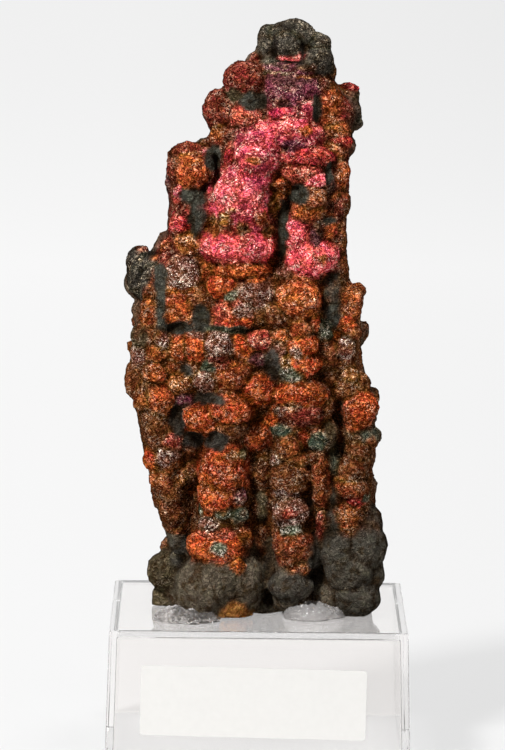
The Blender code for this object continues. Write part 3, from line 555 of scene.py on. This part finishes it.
def aim_at(x, z):
    """The direction in which a viewer sees x and z on the face plane."""
    return (Vector((x, FACE_PLANE, z)) - EYE).normalized()


def face_at(tree, x, z):
    """The core's point that a viewer sees at x and z, or else the one at depth 0."""
    return tree.ray_cast(EYE, aim_at(x, z))[0] or sight(x, z, 0)


def ellipsoid(bm, centre, radii, subdivisions=3):
    """Adds an ellipsoid with its axes along X, Y and Z."""
    place = Matrix.LocRotScale(Vector(centre), None, Vector(radii))
    bmesh.ops.create_icosphere(bm, subdivisions=subdivisions, radius=1, matrix=place)


def loft(bm, rings):
    """Joins closed rings of points, bottom to top, and closes both ends."""
    rows = [[bm.verts.new(point) for point in ring] for ring in rings]
    for lower, upper in zip(rows, rows[1:]):
        for k, corner in enumerate(lower):
            after = (k + 1) % len(lower)
            bm.faces.new((corner, lower[after], upper[after], upper[k]))
    bm.faces.new(rows[0][::-1])
    bm.faces.new(rows[-1])


def oval(x, y, z, half_width, half_depth, sides, power):
    """A ring of points on an oval, squarer with a smaller power."""
    ring = []
    for k in range(sides):
        turn = 2.0 * pi * k / sides
        c, s = cos(turn), sin(turn)
        across = copysign(abs(c) ** power, c)
        along = copysign(abs(s) ** power, s)
        ring.append((x + half_width * across, y + half_depth * along, z))
    return ring


def add_column(bm, stations):
    """Adds an upright column with domed ends through its stations."""
    places = [(sight(x, z, y), rx, ry) for z, x, y, rx, ry in stations]
    loft(bm, [oval(at.x, at.y, at.z, rx, ry, *COLUMN_RING) for at, rx, ry in places])
    for at, rx, ry in (places[0], places[-1]):
        ellipsoid(bm, at, (rx, ry, COLUMN_DOME * rx))


def add_back_mass(bm):
    """Adds the mass that stands behind the columns."""
    rings = []
    for z, left, right, front, back in BACK_MASS:
        at = sight((left + right) / 2, z, 0)
        half_width, half_depth = (right - left) / 2, (back - front) / 2
        rings.append(oval(at.x, (front + back) / 2, at.z, half_width, half_depth, *MASS_RING))
    loft(bm, rings)


def core():
    """The specimen's core: its columns and the mass behind them."""
    bm = bmesh.new()
    add_back_mass(bm)
    for stations in COLUMNS:
        add_column(bm, stations)
    add_column(bm, CHUNK)
    return bm


def form_at(face, aim, wide, tall, stand, finish):
    """Centre, radii and finish of a lump that stands out from a point on the core."""
    deep = max(0.5 * (wide + tall), LEAST_DEPTH * stand)
    return face + aim * (deep - stand), (wide, deep, tall), finish


def front_forms(tree):
    """The listed lumps on the front."""
    forms = []
    for x, z, wide, tall, stand, finish in FRONT_LUMPS:
        face, aim = face_at(tree, x, z), aim_at(x, z)
        forms.append(form_at(face, aim, wide * SPREAD, tall * SPREAD, stand, finish))
    return forms


def taken(x, z, size):
    """Whether a listed lump or pit already has this place."""
    for spot in (*FRONT_LUMPS, *PITS):
        across = (x - spot[0]) / (spot[2] + FILL_ROOM * size)
        along = (z - spot[1]) / (spot[3] + FILL_ROOM * size)
        if across ** 2 + along ** 2 < 1.0:
            return True
    return False


def fill_forms(tree):
    """The lumps that fill the front between the listed ones."""
    chance = random.Random(FILL_SEED)
    forms = []
    for row in range(FILL_ROWS):
        for step in range(FILL_COLUMNS):
            x = FILL_LEFT + FILL_STEP * (step + 0.5 * (row % 2)) + chance.uniform(*FILL_SHIFT)
            z = FILL_BOTTOM + FILL_STEP * row + chance.uniform(*FILL_SHIFT)
            size = chance.uniform(*FILL_SIZE)
            wide = size * chance.uniform(*FILL_STRETCH)
            pick = chance.random()
            aim = aim_at(x, z)
            face, normal = tree.ray_cast(EYE, aim)[:2]
            if face is None or taken(x, z, size):
                continue
            facing = -normal.dot(aim)
            if facing < FILL_FACING:
                continue
            stand = size * (FILL_STAND[0] + FILL_STAND[1] * facing)
            finishes = next(names for low, names in FILL_ZONES if z >= low)
            finish = finishes[int(pick * len(finishes))]
            forms.append(form_at(face, aim, wide, size, stand, finish))
    return forms


def add_back_lumps(bm, tree):
    """Adds the lumps on the sides and the back."""
    chance = random.Random(BACK_SEED)
    for _ in range(BACK_LUMPS):
        turn = radians(chance.uniform(*BACK_ARC))
        height = chance.uniform(*BACK_HEIGHTS)
        size = chance.uniform(*BACK_RADIUS) * (1 - BACK_TAPER * height / TOP_HEIGHT)
        shape = [size * chance.uniform(*BACK_STRETCH) for _ in range(3)]
        start = Vector((BACK_FROM * cos(turn), BACK_FROM * sin(turn), height))
        aim = Vector((0, BACK_AXIS_Y, height)) - start
        face, normal = tree.ray_cast(start, aim.normalized())[:2]
        if face is None:
            continue
        stand = size * (BACK_STAND - SIDE_STAND_LESS * abs(normal.x))
        ellipsoid(bm, face - normal * (size - stand), shape)


def wobble(bm, amount, scale):
    """Makes round shapes a little uneven."""
    for corner in bm.verts:
        corner.co += noise.noise_vector(corner.co / scale) * amount


def add_pits(bm, tree):
    """Adds the ellipsoids that cut the pits and crevices."""
    for x, z, wide, tall, deep in PITS:
        ellipsoid(bm, face_at(tree, x, z), (wide, deep, tall))


def add_object(name, bm):
    """Turns a bmesh in millimetres on the block's top into an object in metres."""
    bmesh.ops.recalc_face_normals(bm, faces=bm.faces)
    bmesh.ops.translate(bm, vec=(0, 0, BLOCK_HEIGHT), verts=bm.verts)
    bmesh.ops.scale(bm, vec=(MM, MM, MM), verts=bm.verts)
    return add_mesh(name, bm)


def add_mesh(name, bm):
    """Turns a bmesh into an object as it is."""
    mesh = bpy.data.meshes.new(name)
    bm.to_mesh(mesh)
    bm.free()
    return add_thing(name, mesh)


def add_thing(name, data):
    """Puts a new object in the scene."""
    thing = bpy.data.objects.new(name, data)
    bpy.context.scene.collection.objects.link(thing)
    return thing


def merge_shapes(thing):
    """Joins an object's overlapping shapes in one closed surface."""
    step = thing.modifiers.new("Merge", "REMESH")
    step.mode = "VOXEL"
    step.voxel_size = VOXEL * MM


def apply_steps(thing):
    """Keeps the mesh that the modifiers give, and drops the modifiers."""
    graph = bpy.context.evaluated_depsgraph_get()
    graph.update()
    mesh = bpy.data.meshes.new_from_object(thing.evaluated_get(graph), depsgraph=graph)
    old = thing.data
    thing.modifiers.clear()
    thing.data = mesh
    bpy.data.meshes.remove(old)


def cut_pits(thing, cutter):
    """Merges an object's shapes, cuts the pits in it, and evens out the cut."""
    merge_shapes(cutter)
    merge_shapes(thing)
    hollow = thing.modifiers.new("Pits", "BOOLEAN")
    hollow.operation = "DIFFERENCE"
    hollow.solver = "EXACT"
    hollow.object = cutter
    merge_shapes(thing)
    apply_steps(thing)
    bpy.data.objects.remove(cutter, do_unlink=True)


def read_vectors(mesh, name):
    """The mesh's points or point normals, as rows of three."""
    flat = np.empty(len(mesh.vertices) * 3)
    mesh.vertices.foreach_get(name, flat)
    return flat.reshape(-1, 3)


def read_points(mesh):
    """The mesh's points, in millimetres on the block's top."""
    return read_vectors(mesh, "co") / MM - (0, 0, BLOCK_HEIGHT)


def write_points(mesh, points):
    """Puts points in millimetres back in the mesh."""
    flat = (points + (0, 0, BLOCK_HEIGHT)) * MM
    mesh.vertices.foreach_set("co", flat.ravel())
    mesh.update()


def edge_ends(mesh):
    """The two ends of every edge."""
    flat = np.empty(len(mesh.edges) * 2, dtype=np.int64)
    mesh.edges.foreach_get("vertices", flat)
    return flat.reshape(-1, 2)


def eased(values, ends, rounds):
    """Values averaged with their neighbours' along the edges, several times."""
    count = np.bincount(ends.ravel(), minlength=len(values)).reshape(-1, 1)
    for _ in range(rounds):
        total = np.zeros_like(values)
        for axis in range(values.shape[1]):
            for a, b in ((0, 1), (1, 0)):
                weights = values[ends[:, b], axis]
                total[:, axis] += np.bincount(ends[:, a], weights, len(values))
        values = 0.5 * values + 0.5 * total / count
    return values


def rising(values, start, width):
    """0 below a start, and 1 from start + width on."""
    return np.clip((values - start) / width, 0, 1)


def squares(points, centre, radii):
    """The square of each point's distance from an ellipsoid's centre, in its radii."""
    return (((points - np.array(centre)) / np.array(radii)) ** 2).sum(1)


def creases(points, scale, seed):
    """A field of round bumps with sharp creases between: 0 in the creases, about 0.5 on top."""
    shift = Vector((seed, 2 * seed, -seed))
    return np.array([abs(noise.noise(Vector(p) / scale + shift)) for p in points])


def swell(points, scale, seed):
    """A field of soft noise from about -0.5 to 0.5."""
    shift = Vector((-seed, seed, 0.5 * seed))
    return np.array([noise.noise(Vector(p) / scale + shift) for p in points])


def openness(mesh, points, normals):
    """How open each point lies, from 0 in a crevice to 1 on a top."""
    chance = random.Random(SKY_SEED)
    corners = [Vector(p) for p in points]
    tree = BVHTree.FromPolygons(corners, [tuple(f.vertices) for f in mesh.polygons])
    ways = [Vector([chance.gauss(0, 1) for _ in range(3)]).normalized() for _ in range(SKY_RAYS)]
    result = np.empty(len(points))
    for k, corner in enumerate(corners):
        out = Vector(normals[k])
        start = corner + out * SKY_LIFT
        free = 0.0
        for way in ways:
            aim = (out + way * SKY_SPREAD).normalized()
            hit = tree.ray_cast(start, aim, SKY_REACH)[3]
            free += 1.0 if hit is None else hit / SKY_REACH
        result[k] = free / SKY_RAYS
    return result


def seams(points, forms):
    """How far each point lies from the seam between its two nearest lumps, in seam widths."""
    first = second = size = seamless = np.full(len(points), FAR_OFF)
    for centre, radii, finish in forms:
        away = np.sqrt(squares(points, centre, radii))
        if finish in SEAMLESS:
            seamless = np.minimum(seamless, away)
            continue
        second = np.minimum(second, np.maximum(first, away))
        size = np.where(away < first, np.mean(radii), size)
        first = np.minimum(first, away)
    second = np.minimum(second, np.maximum(first, seamless))
    size = np.where(seamless < first, SEAMLESS_SIZE, size)
    first = np.minimum(first, seamless)
    ended = SEAM_END_SLOPE * (first - SEAM_END)
    return np.clip(np.maximum((second - first) * size / SEAM_WIDTH, ended), 0, SEAM_SPAN)


def relief(points, film, seam):
    """How far the crust stands out at each point: creased grains, soft swells, sunk seams."""
    height = np.zeros(len(points))
    for scale, seed, on_stone, under_film in CREASES:
        height += (creases(points, scale, seed) - CREASE_LEVEL) * (on_stone + under_film * film)
    sunk = SEAM_DEPTH * (SEAM_SHARE[0] + SEAM_SHARE[1] * film) * (1 - np.minimum(seam, 1))
    return height + (swell(points, *SWELL) * SWELL_HEIGHT - sunk)


def nearness(spots, centre, radii, edge, lead):
    """A share that is full inside an ellipsoid and falls off past its edge."""
    return np.exp(-FALL * np.clip(squares(spots, centre, radii) - edge, -lead, FALL_END))


def finish_shares(spots, forms, tree):
    """Each finish with its share at every point: grounds and back, then lumps, then patches."""
    height = spots[:, 2]
    back = rising(spots[:, 1], BACK_START, BACK_BLEND)
    for finish, low, high in GROUNDS:
        inside = rising(height, low, GROUND_BLEND) * rising(-height, -high, GROUND_BLEND)
        yield finish, inside * GROUND_SHARE * (1 - back)
    yield BACK_FINISH, BACK_SHARE * back + LEAST_SHARE
    for centre, radii, finish in forms:
        yield finish, nearness(spots, centre, radii, *LUMP_EDGE)
    for finish, patches in PATCHES.items():
        for x, z, wide, tall in patches:
            radii = (wide, PATCH_DEPTH, tall)
            yield finish, PATCH_WEIGHT * nearness(spots, face_at(tree, x, z), radii, *PATCH_EDGE)


def tint_points(points, normals, forms, tree):
    """Colour, film and glitter of each point, from the lumps and patches near it, with painted shade at
    the rim.
    """
    table = {name: np.array((*colour, *rest)) for name, (colour, *rest) in FINISHES.items()}
    wave = np.array([noise.noise_vector(Vector(p) / BORDER_SCALE) for p in points]) * BORDER_WAVE
    spots = points + wave
    total = np.zeros((len(points), 5))
    weight = np.zeros((len(points), 1))
    for finish, share in finish_shares(spots, forms, tree):
        share = share.reshape(-1, 1)
        total += share * table[finish]
        weight += share
    look = total / weight
    rim = rising(normals[:, 1], *RIM_TURN)
    rim = (rim * (1 - RIM_BACK_SHARE * rising(points[:, 1], *RIM_BACK))).reshape(-1, 1)
    gain = np.interp(spots[:, 2], GAIN_HEIGHTS, GAINS).reshape(-1, 1)
    # Painted shade: darker at the rim, where the surface turns away from the front
    look[:, :3] *= gain * (1 - RIM_PAINTED_SHADE * rim)
    look[:, 3:] *= 1.0 - RIM_DULL * rim
    return look


def store(mesh, name, values):
    """Stores one number or one colour for each point."""
    if values.ndim == 1:
        layer = mesh.attributes.new(name, "FLOAT", "POINT")
        layer.data.foreach_set("value", values.astype(np.float32))
        return
    layer = mesh.attributes.new(name, "FLOAT_COLOR", "POINT")
    full = np.ones((len(values), 4), dtype=np.float32)
    full[:, :3] = values
    layer.data.foreach_set("color", full.ravel())


def dress_points(mesh, forms, tree):
    """Gives the specimen's mesh its fine relief, and stores what its material reads."""
    ends = edge_ends(mesh)
    points = eased(read_points(mesh), ends, STEP_ROUNDS)
    write_points(mesh, points)
    normals = read_vectors(mesh, "normal")
    look = tint_points(points, normals, forms, tree)
    film = look[:, 3]
    valley = -((points - eased(points, ends, VALLEY_ROUNDS)) * normals).sum(1)
    seam = seams(points, forms)
    points = points + normals * relief(points, film, seam).reshape(-1, 1)
    points[:, 2] = np.maximum(points[:, 2], GAP)
    write_points(mesh, points)
    normals = read_vectors(mesh, "normal")
    ridge = ((points - eased(points, ends, RIDGE_ROUNDS)) * normals).sum(1)
    layers = {
        "tint": look[:, :3], "film": film, "glitter": look[:, 4],
        "open": openness(mesh, points, normals), "ridge": ridge, "valley": valley, "seam": seam,
    }
    for name, values in layers.items():
        store(mesh, name, values)


def make_specimen():
    """The specimen's crust, finer than its solid."""
    body = core()
    tree = BVHTree.FromBMesh(body)
    forms = front_forms(tree) + fill_forms(tree)
    for centre, radii, _ in forms:
        ellipsoid(body, centre, radii)
    add_back_lumps(body, tree)
    wobble(body, WOBBLE, WOBBLE_SCALE)
    specimen = add_object("goethite_crust", body)
    pits = bmesh.new()
    add_pits(pits, tree)
    wobble(pits, PIT_WOBBLE, PIT_WOBBLE_SCALE)
    cut_pits(specimen, add_object("pits", pits))
    dress_points(specimen.data, forms, tree)
    specimen.data.shade_smooth()
    specimen.data.materials.append(crust_material())
    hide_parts("goethite")
    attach(specimen, "root")


class Nodes:
    """Short ways to lay out one material's nodes."""

    def __init__(self, name):
        self.material = bpy.data.materials.new(name)
        self.material.use_nodes = True
        self.tree = self.material.node_tree
        self.shader = self.tree.nodes["Principled BSDF"]

    def link(self, source, target):
        """Links an output, or sets a plain value."""
        if isinstance(source, bpy.types.NodeSocket):
            self.tree.links.new(source, target)
        else:
            target.default_value = source

    def set(self, **values):
        """Links or sets the shader's inputs, with _ for a space in their names."""
        for name, value in values.items():
            self.link(value, self.shader.inputs[name.replace("_", " ")])

    def add(self, kind, inputs=(), **settings):
        """A new node with its properties set, and its inputs by number or name."""
        node = self.tree.nodes.new(kind)
        for key, value in settings.items():
            setattr(node, key, value)
        for key, value in dict(inputs).items():
            self.link(value, node.inputs[key])
        return node

    def math(self, operation, *values, clamp=False):
        """A Math node's value."""
        node = self.add("ShaderNodeMath", enumerate(values), operation=operation, use_clamp=clamp)
        return node.outputs[0]

    def times(self, first, *others):
        """The product of several values."""
        for other in others:
            first = self.math("MULTIPLY", first, other)
        return first

    def vector(self, operation, *values):
        """A Vector Math node's vector."""
        return self.add("ShaderNodeVectorMath", enumerate(values), operation=operation).outputs[0]

    def mix(self, share, a, b, blend="MIX"):
        """Two colours mixed."""
        inputs = {0: share, 6: a, 7: b}
        return self.add("ShaderNodeMix", inputs, data_type="RGBA", blend_type=blend).outputs[2]

    def ramp(self, value, low, high, to_low=0, to_high=1):
        """A value mapped from one range to another, and kept in it."""
        inputs = enumerate((value, low, high, to_low, to_high))
        return self.add("ShaderNodeMapRange", inputs).outputs[0]

    def read(self, name, output="Fac"):
        """A number or colour that is stored for each point."""
        return self.add("ShaderNodeAttribute", attribute_name=name).outputs[output]

    def place(self):
        """Coordinates on the piece, in metres."""
        return self.add("ShaderNodeTexCoord").outputs["Object"]

    def cloud(self, where, scale, detail=2, warp=0):
        """A noise texture, twisted by a warp."""
        inputs = {"Vector": where, "Scale": scale, "Detail": detail, "Distortion": warp}
        return self.add("ShaderNodeTexNoise", inputs).outputs[0]

    def folds(self, *cloud):
        """A noise texture folded at its middle: 0 along the folds."""
        return self.math("ABSOLUTE", self.math("SUBTRACT", self.cloud(*cloud), 0.5))

    def bump(self, height, strength, distance):
        """A normal bumped by a height."""
        inputs = {"Height": height, "Strength": strength, "Distance": distance}
        return self.add("ShaderNodeBump", inputs).outputs[0]


def stain(m, where, tint, film, seam):
    """The crust's own colour with blotches, darker or more golden, and browner along the seams."""
    blotch = m.cloud(where, BLOTCHES, 4)
    dull = m.mix(1, tint, DULL, "MULTIPLY")
    bright = m.mix(1, tint, BRIGHT, "MULTIPLY")
    colour = m.mix(m.ramp(blotch, 0.38, 0.52), dull, tint)
    colour = m.mix(m.ramp(blotch, 0.54, 0.7), colour, bright)
    browned = m.mix(1, colour, BROWNED, "MULTIPLY")
    return m.mix(m.times(m.ramp(seam, 0.7, 2.6, 0.7, 0), film), colour, browned)


def grade(m, where, colour, tone_and_painted_light, film, draw):
    """Each grain's own hue, and a brightness from its tone, which holds painted highlight and shade."""
    drift = m.ramp(m.cloud(where, DRIFTS, 1), 0.35, 0.65, 0.484, 0.496)
    hue = m.math("MULTIPLY_ADD", draw, HUE_DRAW, drift)
    darkest = m.ramp(film, 0, 1, *DARKEST)
    brightest = m.ramp(film, 0, 1, *BRIGHTEST)
    value = m.ramp(tone_and_painted_light, 0, 1, darkest, brightest)
    inputs = {"Color": colour, "Hue": hue, "Value": value}
    return m.add("ShaderNodeHueSaturation", inputs).outputs[0]


def crust_material():
    """The glittering iridescent crust, with a painted sheen highlight and painted shade in its hollows.
    """
    m = Nodes("goethite_crust")
    layers = ("film", "glitter", "open", "ridge", "valley", "seam")
    film, glitter, open_sky, ridge, valley, seam = [m.read(name) for name in layers]

    # Fine grains with a tone and a facet each, on crinkled small bumps; painted highlight on the tops,
    # painted shade in the folds
    where = m.vector("MULTIPLY", m.place(), GRAIN_STRETCH)
    facet = m.add("ShaderNodeTexVoronoi", {"Vector": where, "Scale": GRAINS}).outputs["Color"]
    tone_draw, other_draw, pale_draw = m.add("ShaderNodeSeparateColor", {0: facet}).outputs
    wide = m.folds(where, WIDE_CRINKLES, 2.5, 1)
    fine = m.folds(where, FINE_CRINKLES, 1, 0.9)
    edge = m.ramp(fine, 0, 0.06, 1, 0)
    crinkle = m.math("MULTIPLY_ADD", m.ramp(wide, 0, 0.12), WIDE_SHARE, m.times(edge, EDGE_SHARE))
    grain = m.math("MULTIPLY_ADD", tone_draw, GRAIN_SHARE, crinkle)
    tone_and_painted_light = m.ramp(m.math("POWER", grain, 1.6), 0.06, 0.66)
    colour = stain(m, where, m.read("tint", "Color"), film, seam)
    colour = grade(m, where, colour, tone_and_painted_light, film, other_draw)

    # A painted highlight: a pale sheen added to the colour on the tops of the grains
    clusters = m.cloud(where, CLUSTERS)
    gloss = m.math("POWER", glitter, 1.7)
    painted_sheen = m.times(m.math("POWER", tone_and_painted_light, 2.8), m.ramp(gloss, 0, 1, *PAINTED_SHEEN))
    painted_sheen = m.times(painted_sheen, m.ramp(clusters, 0.42, 0.6, 0.2, 1.3))
    painted_gleam = m.mix(m.ramp(glitter, 0.6, 0.85), WARM_PAINTED_GLEAM, WHITE_PAINTED_GLEAM)
    colour = m.mix(painted_sheen, colour, painted_gleam, "ADD")

    # Pale grains that glint like metal, in clusters on the tops; their cream is partly a painted glint,
    # left out of hollows as painted shade
    pale = m.times(m.ramp(pale_draw, 0.66, 0.78), m.ramp(crinkle, 0.22, 0.34))
    pale = m.times(pale, m.ramp(clusters, 0.46, 0.6, 0.05, 1.3), m.ramp(gloss, 0, 1, *PALE))
    pale = m.times(pale, m.ramp(open_sky, 0.3, 0.65))
    colour = m.mix(pale, colour, m.mix(CREAM_SHARE, colour, CREAM))

    # Painted shade: darker in concave spots, valleys, seams and crinkle folds, dark brown where little
    # sky is seen
    deep = m.ramp(open_sky, 0.08, 0.36, 1, 0)
    low = m.math("MAXIMUM", m.ramp(ridge, -0.24, 0, 0.85, 0), m.ramp(valley, 0.12, 0.42, 0, 0.85))
    low = m.math("MAXIMUM", low, m.ramp(seam, 0.1, 1.5, 0.9, 0))
    low = m.math("MAXIMUM", low, m.times(m.ramp(wide, 0, 0.032, 0.9, 0), film))
    colour = m.mix(low, colour, m.mix(1, colour, SHADE, "MULTIPLY"))
    shine = m.math("MULTIPLY_ADD", film, FILM_METAL, m.times(pale, PALE_METAL), clamp=True)

    # Crinkles bump the surface; facets tip it
    height = m.math("MULTIPLY_ADD", m.ramp(fine, 0, 0.2), -0.2, m.math("SQRT", wide))
    tip = m.vector("SUBTRACT", facet, (0.5, 0.5, 0.5))
    tip = m.vector("MULTIPLY", tip, m.ramp(film, 0, 1, *FACET_TIP))
    tipped = m.vector("ADD", m.bump(height, 1, 0.0008), tip)
    m.set(
        Base_Color=m.mix(deep, colour, PAINTED_CREVICE_SHADE),
        Metallic=m.times(shine, m.math("SUBTRACT", 1, deep)),
        Roughness=m.ramp(other_draw, 0, 1, *GRAIN_ROUGHNESS),
        Specular_IOR_Level=0.0,
        Specular_Tint=(1, 0.8, 0.6, 1),
        Normal=m.vector("NORMALIZE", tipped),
    )
    return m.material


def dress(node, material):
    """Gives a solid a material in all its slots."""
    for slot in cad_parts[node].material_slots:
        slot.material = material


def dress_block():
    """The clear moulded block, with faint flow marks."""
    m = Nodes("clear_block")
    marks = m.bump(m.cloud(m.place(), 60), 0.05, 0.0002)
    m.set(Base_Color=(1, 0.985, 0.976, 1), Roughness=0.015, Normal=marks)
    m.set(IOR=1.47, Transmission_Weight=0.97)
    dress("base", m.material)


def dress_label():
    """The bare white label: matt paper with a faint grain."""
    m = Nodes("label_paper")
    fibre = m.cloud(m.place(), 900, 4)
    colour = m.mix(m.ramp(fibre, 0.3, 0.7), (0.695, 0.683, 0.66, 1), (0.715, 0.703, 0.68, 1))
    roughness = m.ramp(fibre, 0.3, 0.7, 0.55, 0.7)
    m.set(Base_Color=colour, Roughness=roughness, Normal=m.bump(fibre, 0.15, 0.00005))
    dress("label", m.material)


def glue_material(name, clarity):
    """Clear glue with a crinkled skin."""
    m = Nodes(name)
    skin = m.bump(m.folds(m.place(), 300, 2, 0.8), 0.35, 0.0006)
    m.set(Base_Color=(1, 0.965, 0.945, 1), Roughness=0.03, Normal=skin)
    m.set(IOR=1.45, Transmission_Weight=clarity)
    return m.material


def make_glue(name):
    """One blob of clear glue, with an uneven outline, and folds and creases on top."""
    x, y, half_width, half_depth, height, seed, clarity = GLUE[name]
    bm = bmesh.new()
    ellipsoid(bm, (x, y, GAP), (half_width, half_depth, height), GLUE_SUBDIVISIONS)
    for corner in bm.verts:
        spot = Vector((corner.co.x, corner.co.y, seed)) / GLUE_OUTLINE[0]
        shift = Vector((noise.noise(spot), noise.noise(spot + Vector((9, 0, 0))), 0))
        corner.co += shift * GLUE_OUTLINE[1]
        fold = noise.noise(corner.co / GLUE_FOLD[0] + Vector((0, 0, seed)))
        crease = abs(noise.noise(corner.co / GLUE_CREASE[0] + Vector((seed, 0, 0))))
        if corner.co.z > GAP:
            lift = min(1, (corner.co.z - GAP) / GLUE_EDGE)
            corner.co.z += lift * (GLUE_FOLD[1] * fold - GLUE_CREASE[1] * crease)
        corner.co.z = max(corner.co.z, GAP)
    blob = add_object(name + "_blob", bm)
    blob.data.shade_smooth()
    blob.data.materials.append(glue_material(name + "_clear", clarity))
    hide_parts(name)
    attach(blob, "root")


def floor_material():
    """Pale matt paper that glows a little, most near the object's foot and under its block."""
    m = Nodes("pale_floor")
    x, y, _ = m.add("ShaderNodeSeparateXYZ", {0: m.place()}).outputs
    across, along = m.math("ABSOLUTE", x), m.math("ABSOLUTE", y)
    under = m.times(m.ramp(across, *GLOW_UNDER_X), m.ramp(along, *GLOW_UNDER_Y))
    glow = m.math("ADD", m.ramp(y, *GLOW_NEAR), m.ramp(y, *GLOW_FAR))
    glow = m.math("ADD", glow, m.math("ADD", m.ramp(x, *GLOW_ASIDE), under))
    m.set(Base_Color=(0.2, 0.2, 0.2, 1), Roughness=1, Specular_IOR_Level=0)
    m.set(Emission_Color=(1, 1, 1, 1), Emission_Strength=glow)
    return m.material


def make_floor():
    """A pale floor that sweeps up behind the object."""
    bm = bmesh.new()
    profile = [(FLOOR_FRONT, 0), (FLOOR_BEND, 0)]
    for k in range(1, FLOOR_STEPS + 1):
        turn = radians(90 * k / FLOOR_STEPS)
        rise = FLOOR_RADIUS * (1 - cos(turn))
        profile.append((FLOOR_BEND + FLOOR_RADIUS * sin(turn), rise))
    profile.append((FLOOR_BEND + FLOOR_RADIUS, FLOOR_TOP))
    rows = [[bm.verts.new((side * FLOOR_WIDTH, y, z)) for side in (-1, 1)] for y, z in profile]
    for lower, upper in zip(rows, rows[1:]):
        bm.faces.new((lower[0], lower[1], upper[1], upper[0]))
    floor = add_mesh("floor", bm)
    floor.data.shade_smooth()
    floor.data.materials.append(floor_material())


def light_scene():
    """Soft studio light: a key at the upper left, a weak fill, a light from above, an even sky."""
    for name, place, size, power in LIGHTS:
        data = bpy.data.lights.new(name, "AREA")
        data.shape = "RECTANGLE"
        data.size, data.size_y = size
        data.energy = power
        light = add_thing(name, data)
        light.location = place
        light.rotation_euler = (LIGHT_AIM - Vector(place)).to_track_quat("-Z", "Y").to_euler()
    world = bpy.data.worlds.new("studio")
    world.use_nodes = True
    sky = world.node_tree.nodes["Background"]
    sky.inputs["Color"].default_value = (1, 1, 1, 1)
    sky.inputs["Strength"].default_value = SKY_STRENGTH
    bpy.context.scene.world = world


def let_light_through():
    """Follows light on its many turns inside the clear walls."""
    paths = bpy.context.scene.cycles
    paths.max_bounces = LIGHT_TURNS
    paths.glossy_bounces = LIGHT_TURNS
    paths.transmission_bounces = LIGHT_TURNS


def add_camera():
    """The camera at the photograph's viewing angle."""
    data = bpy.data.cameras.new("camera")
    data.sensor_width = SENSOR_WIDTH
    data.lens = data.sensor_width * FOCAL_PIXELS / IMAGE_HEIGHT
    data.clip_start, data.clip_end = CLIP
    ahead = Vector((
        sin(CAMERA_RIGHT) * cos(CAMERA_DOWN),
        cos(CAMERA_RIGHT) * cos(CAMERA_DOWN),
        -sin(CAMERA_DOWN),
    ))
    level = Vector((cos(CAMERA_RIGHT), -sin(CAMERA_RIGHT), 0))
    rise = level.cross(ahead)
    side = level * cos(CAMERA_ROLL) + rise * sin(CAMERA_ROLL)
    up = rise * cos(CAMERA_ROLL) - level * sin(CAMERA_ROLL)
    turn = Matrix((side, up, -ahead)).transposed().to_4x4()
    camera = add_thing("camera", data)
    camera.matrix_world = Matrix.Translation((EYE + Vector((0, 0, BLOCK_HEIGHT))) * MM) @ turn
    bpy.context.scene.camera = camera


noise.seed_set(NOISE_SEED)
make_specimen()
for glue_name in GLUE:
    make_glue(glue_name)
dress_block()
dress_label()
make_floor()
light_scene()
add_camera()
bpy.context.scene.view_settings.view_transform = "Standard"
let_light_through()
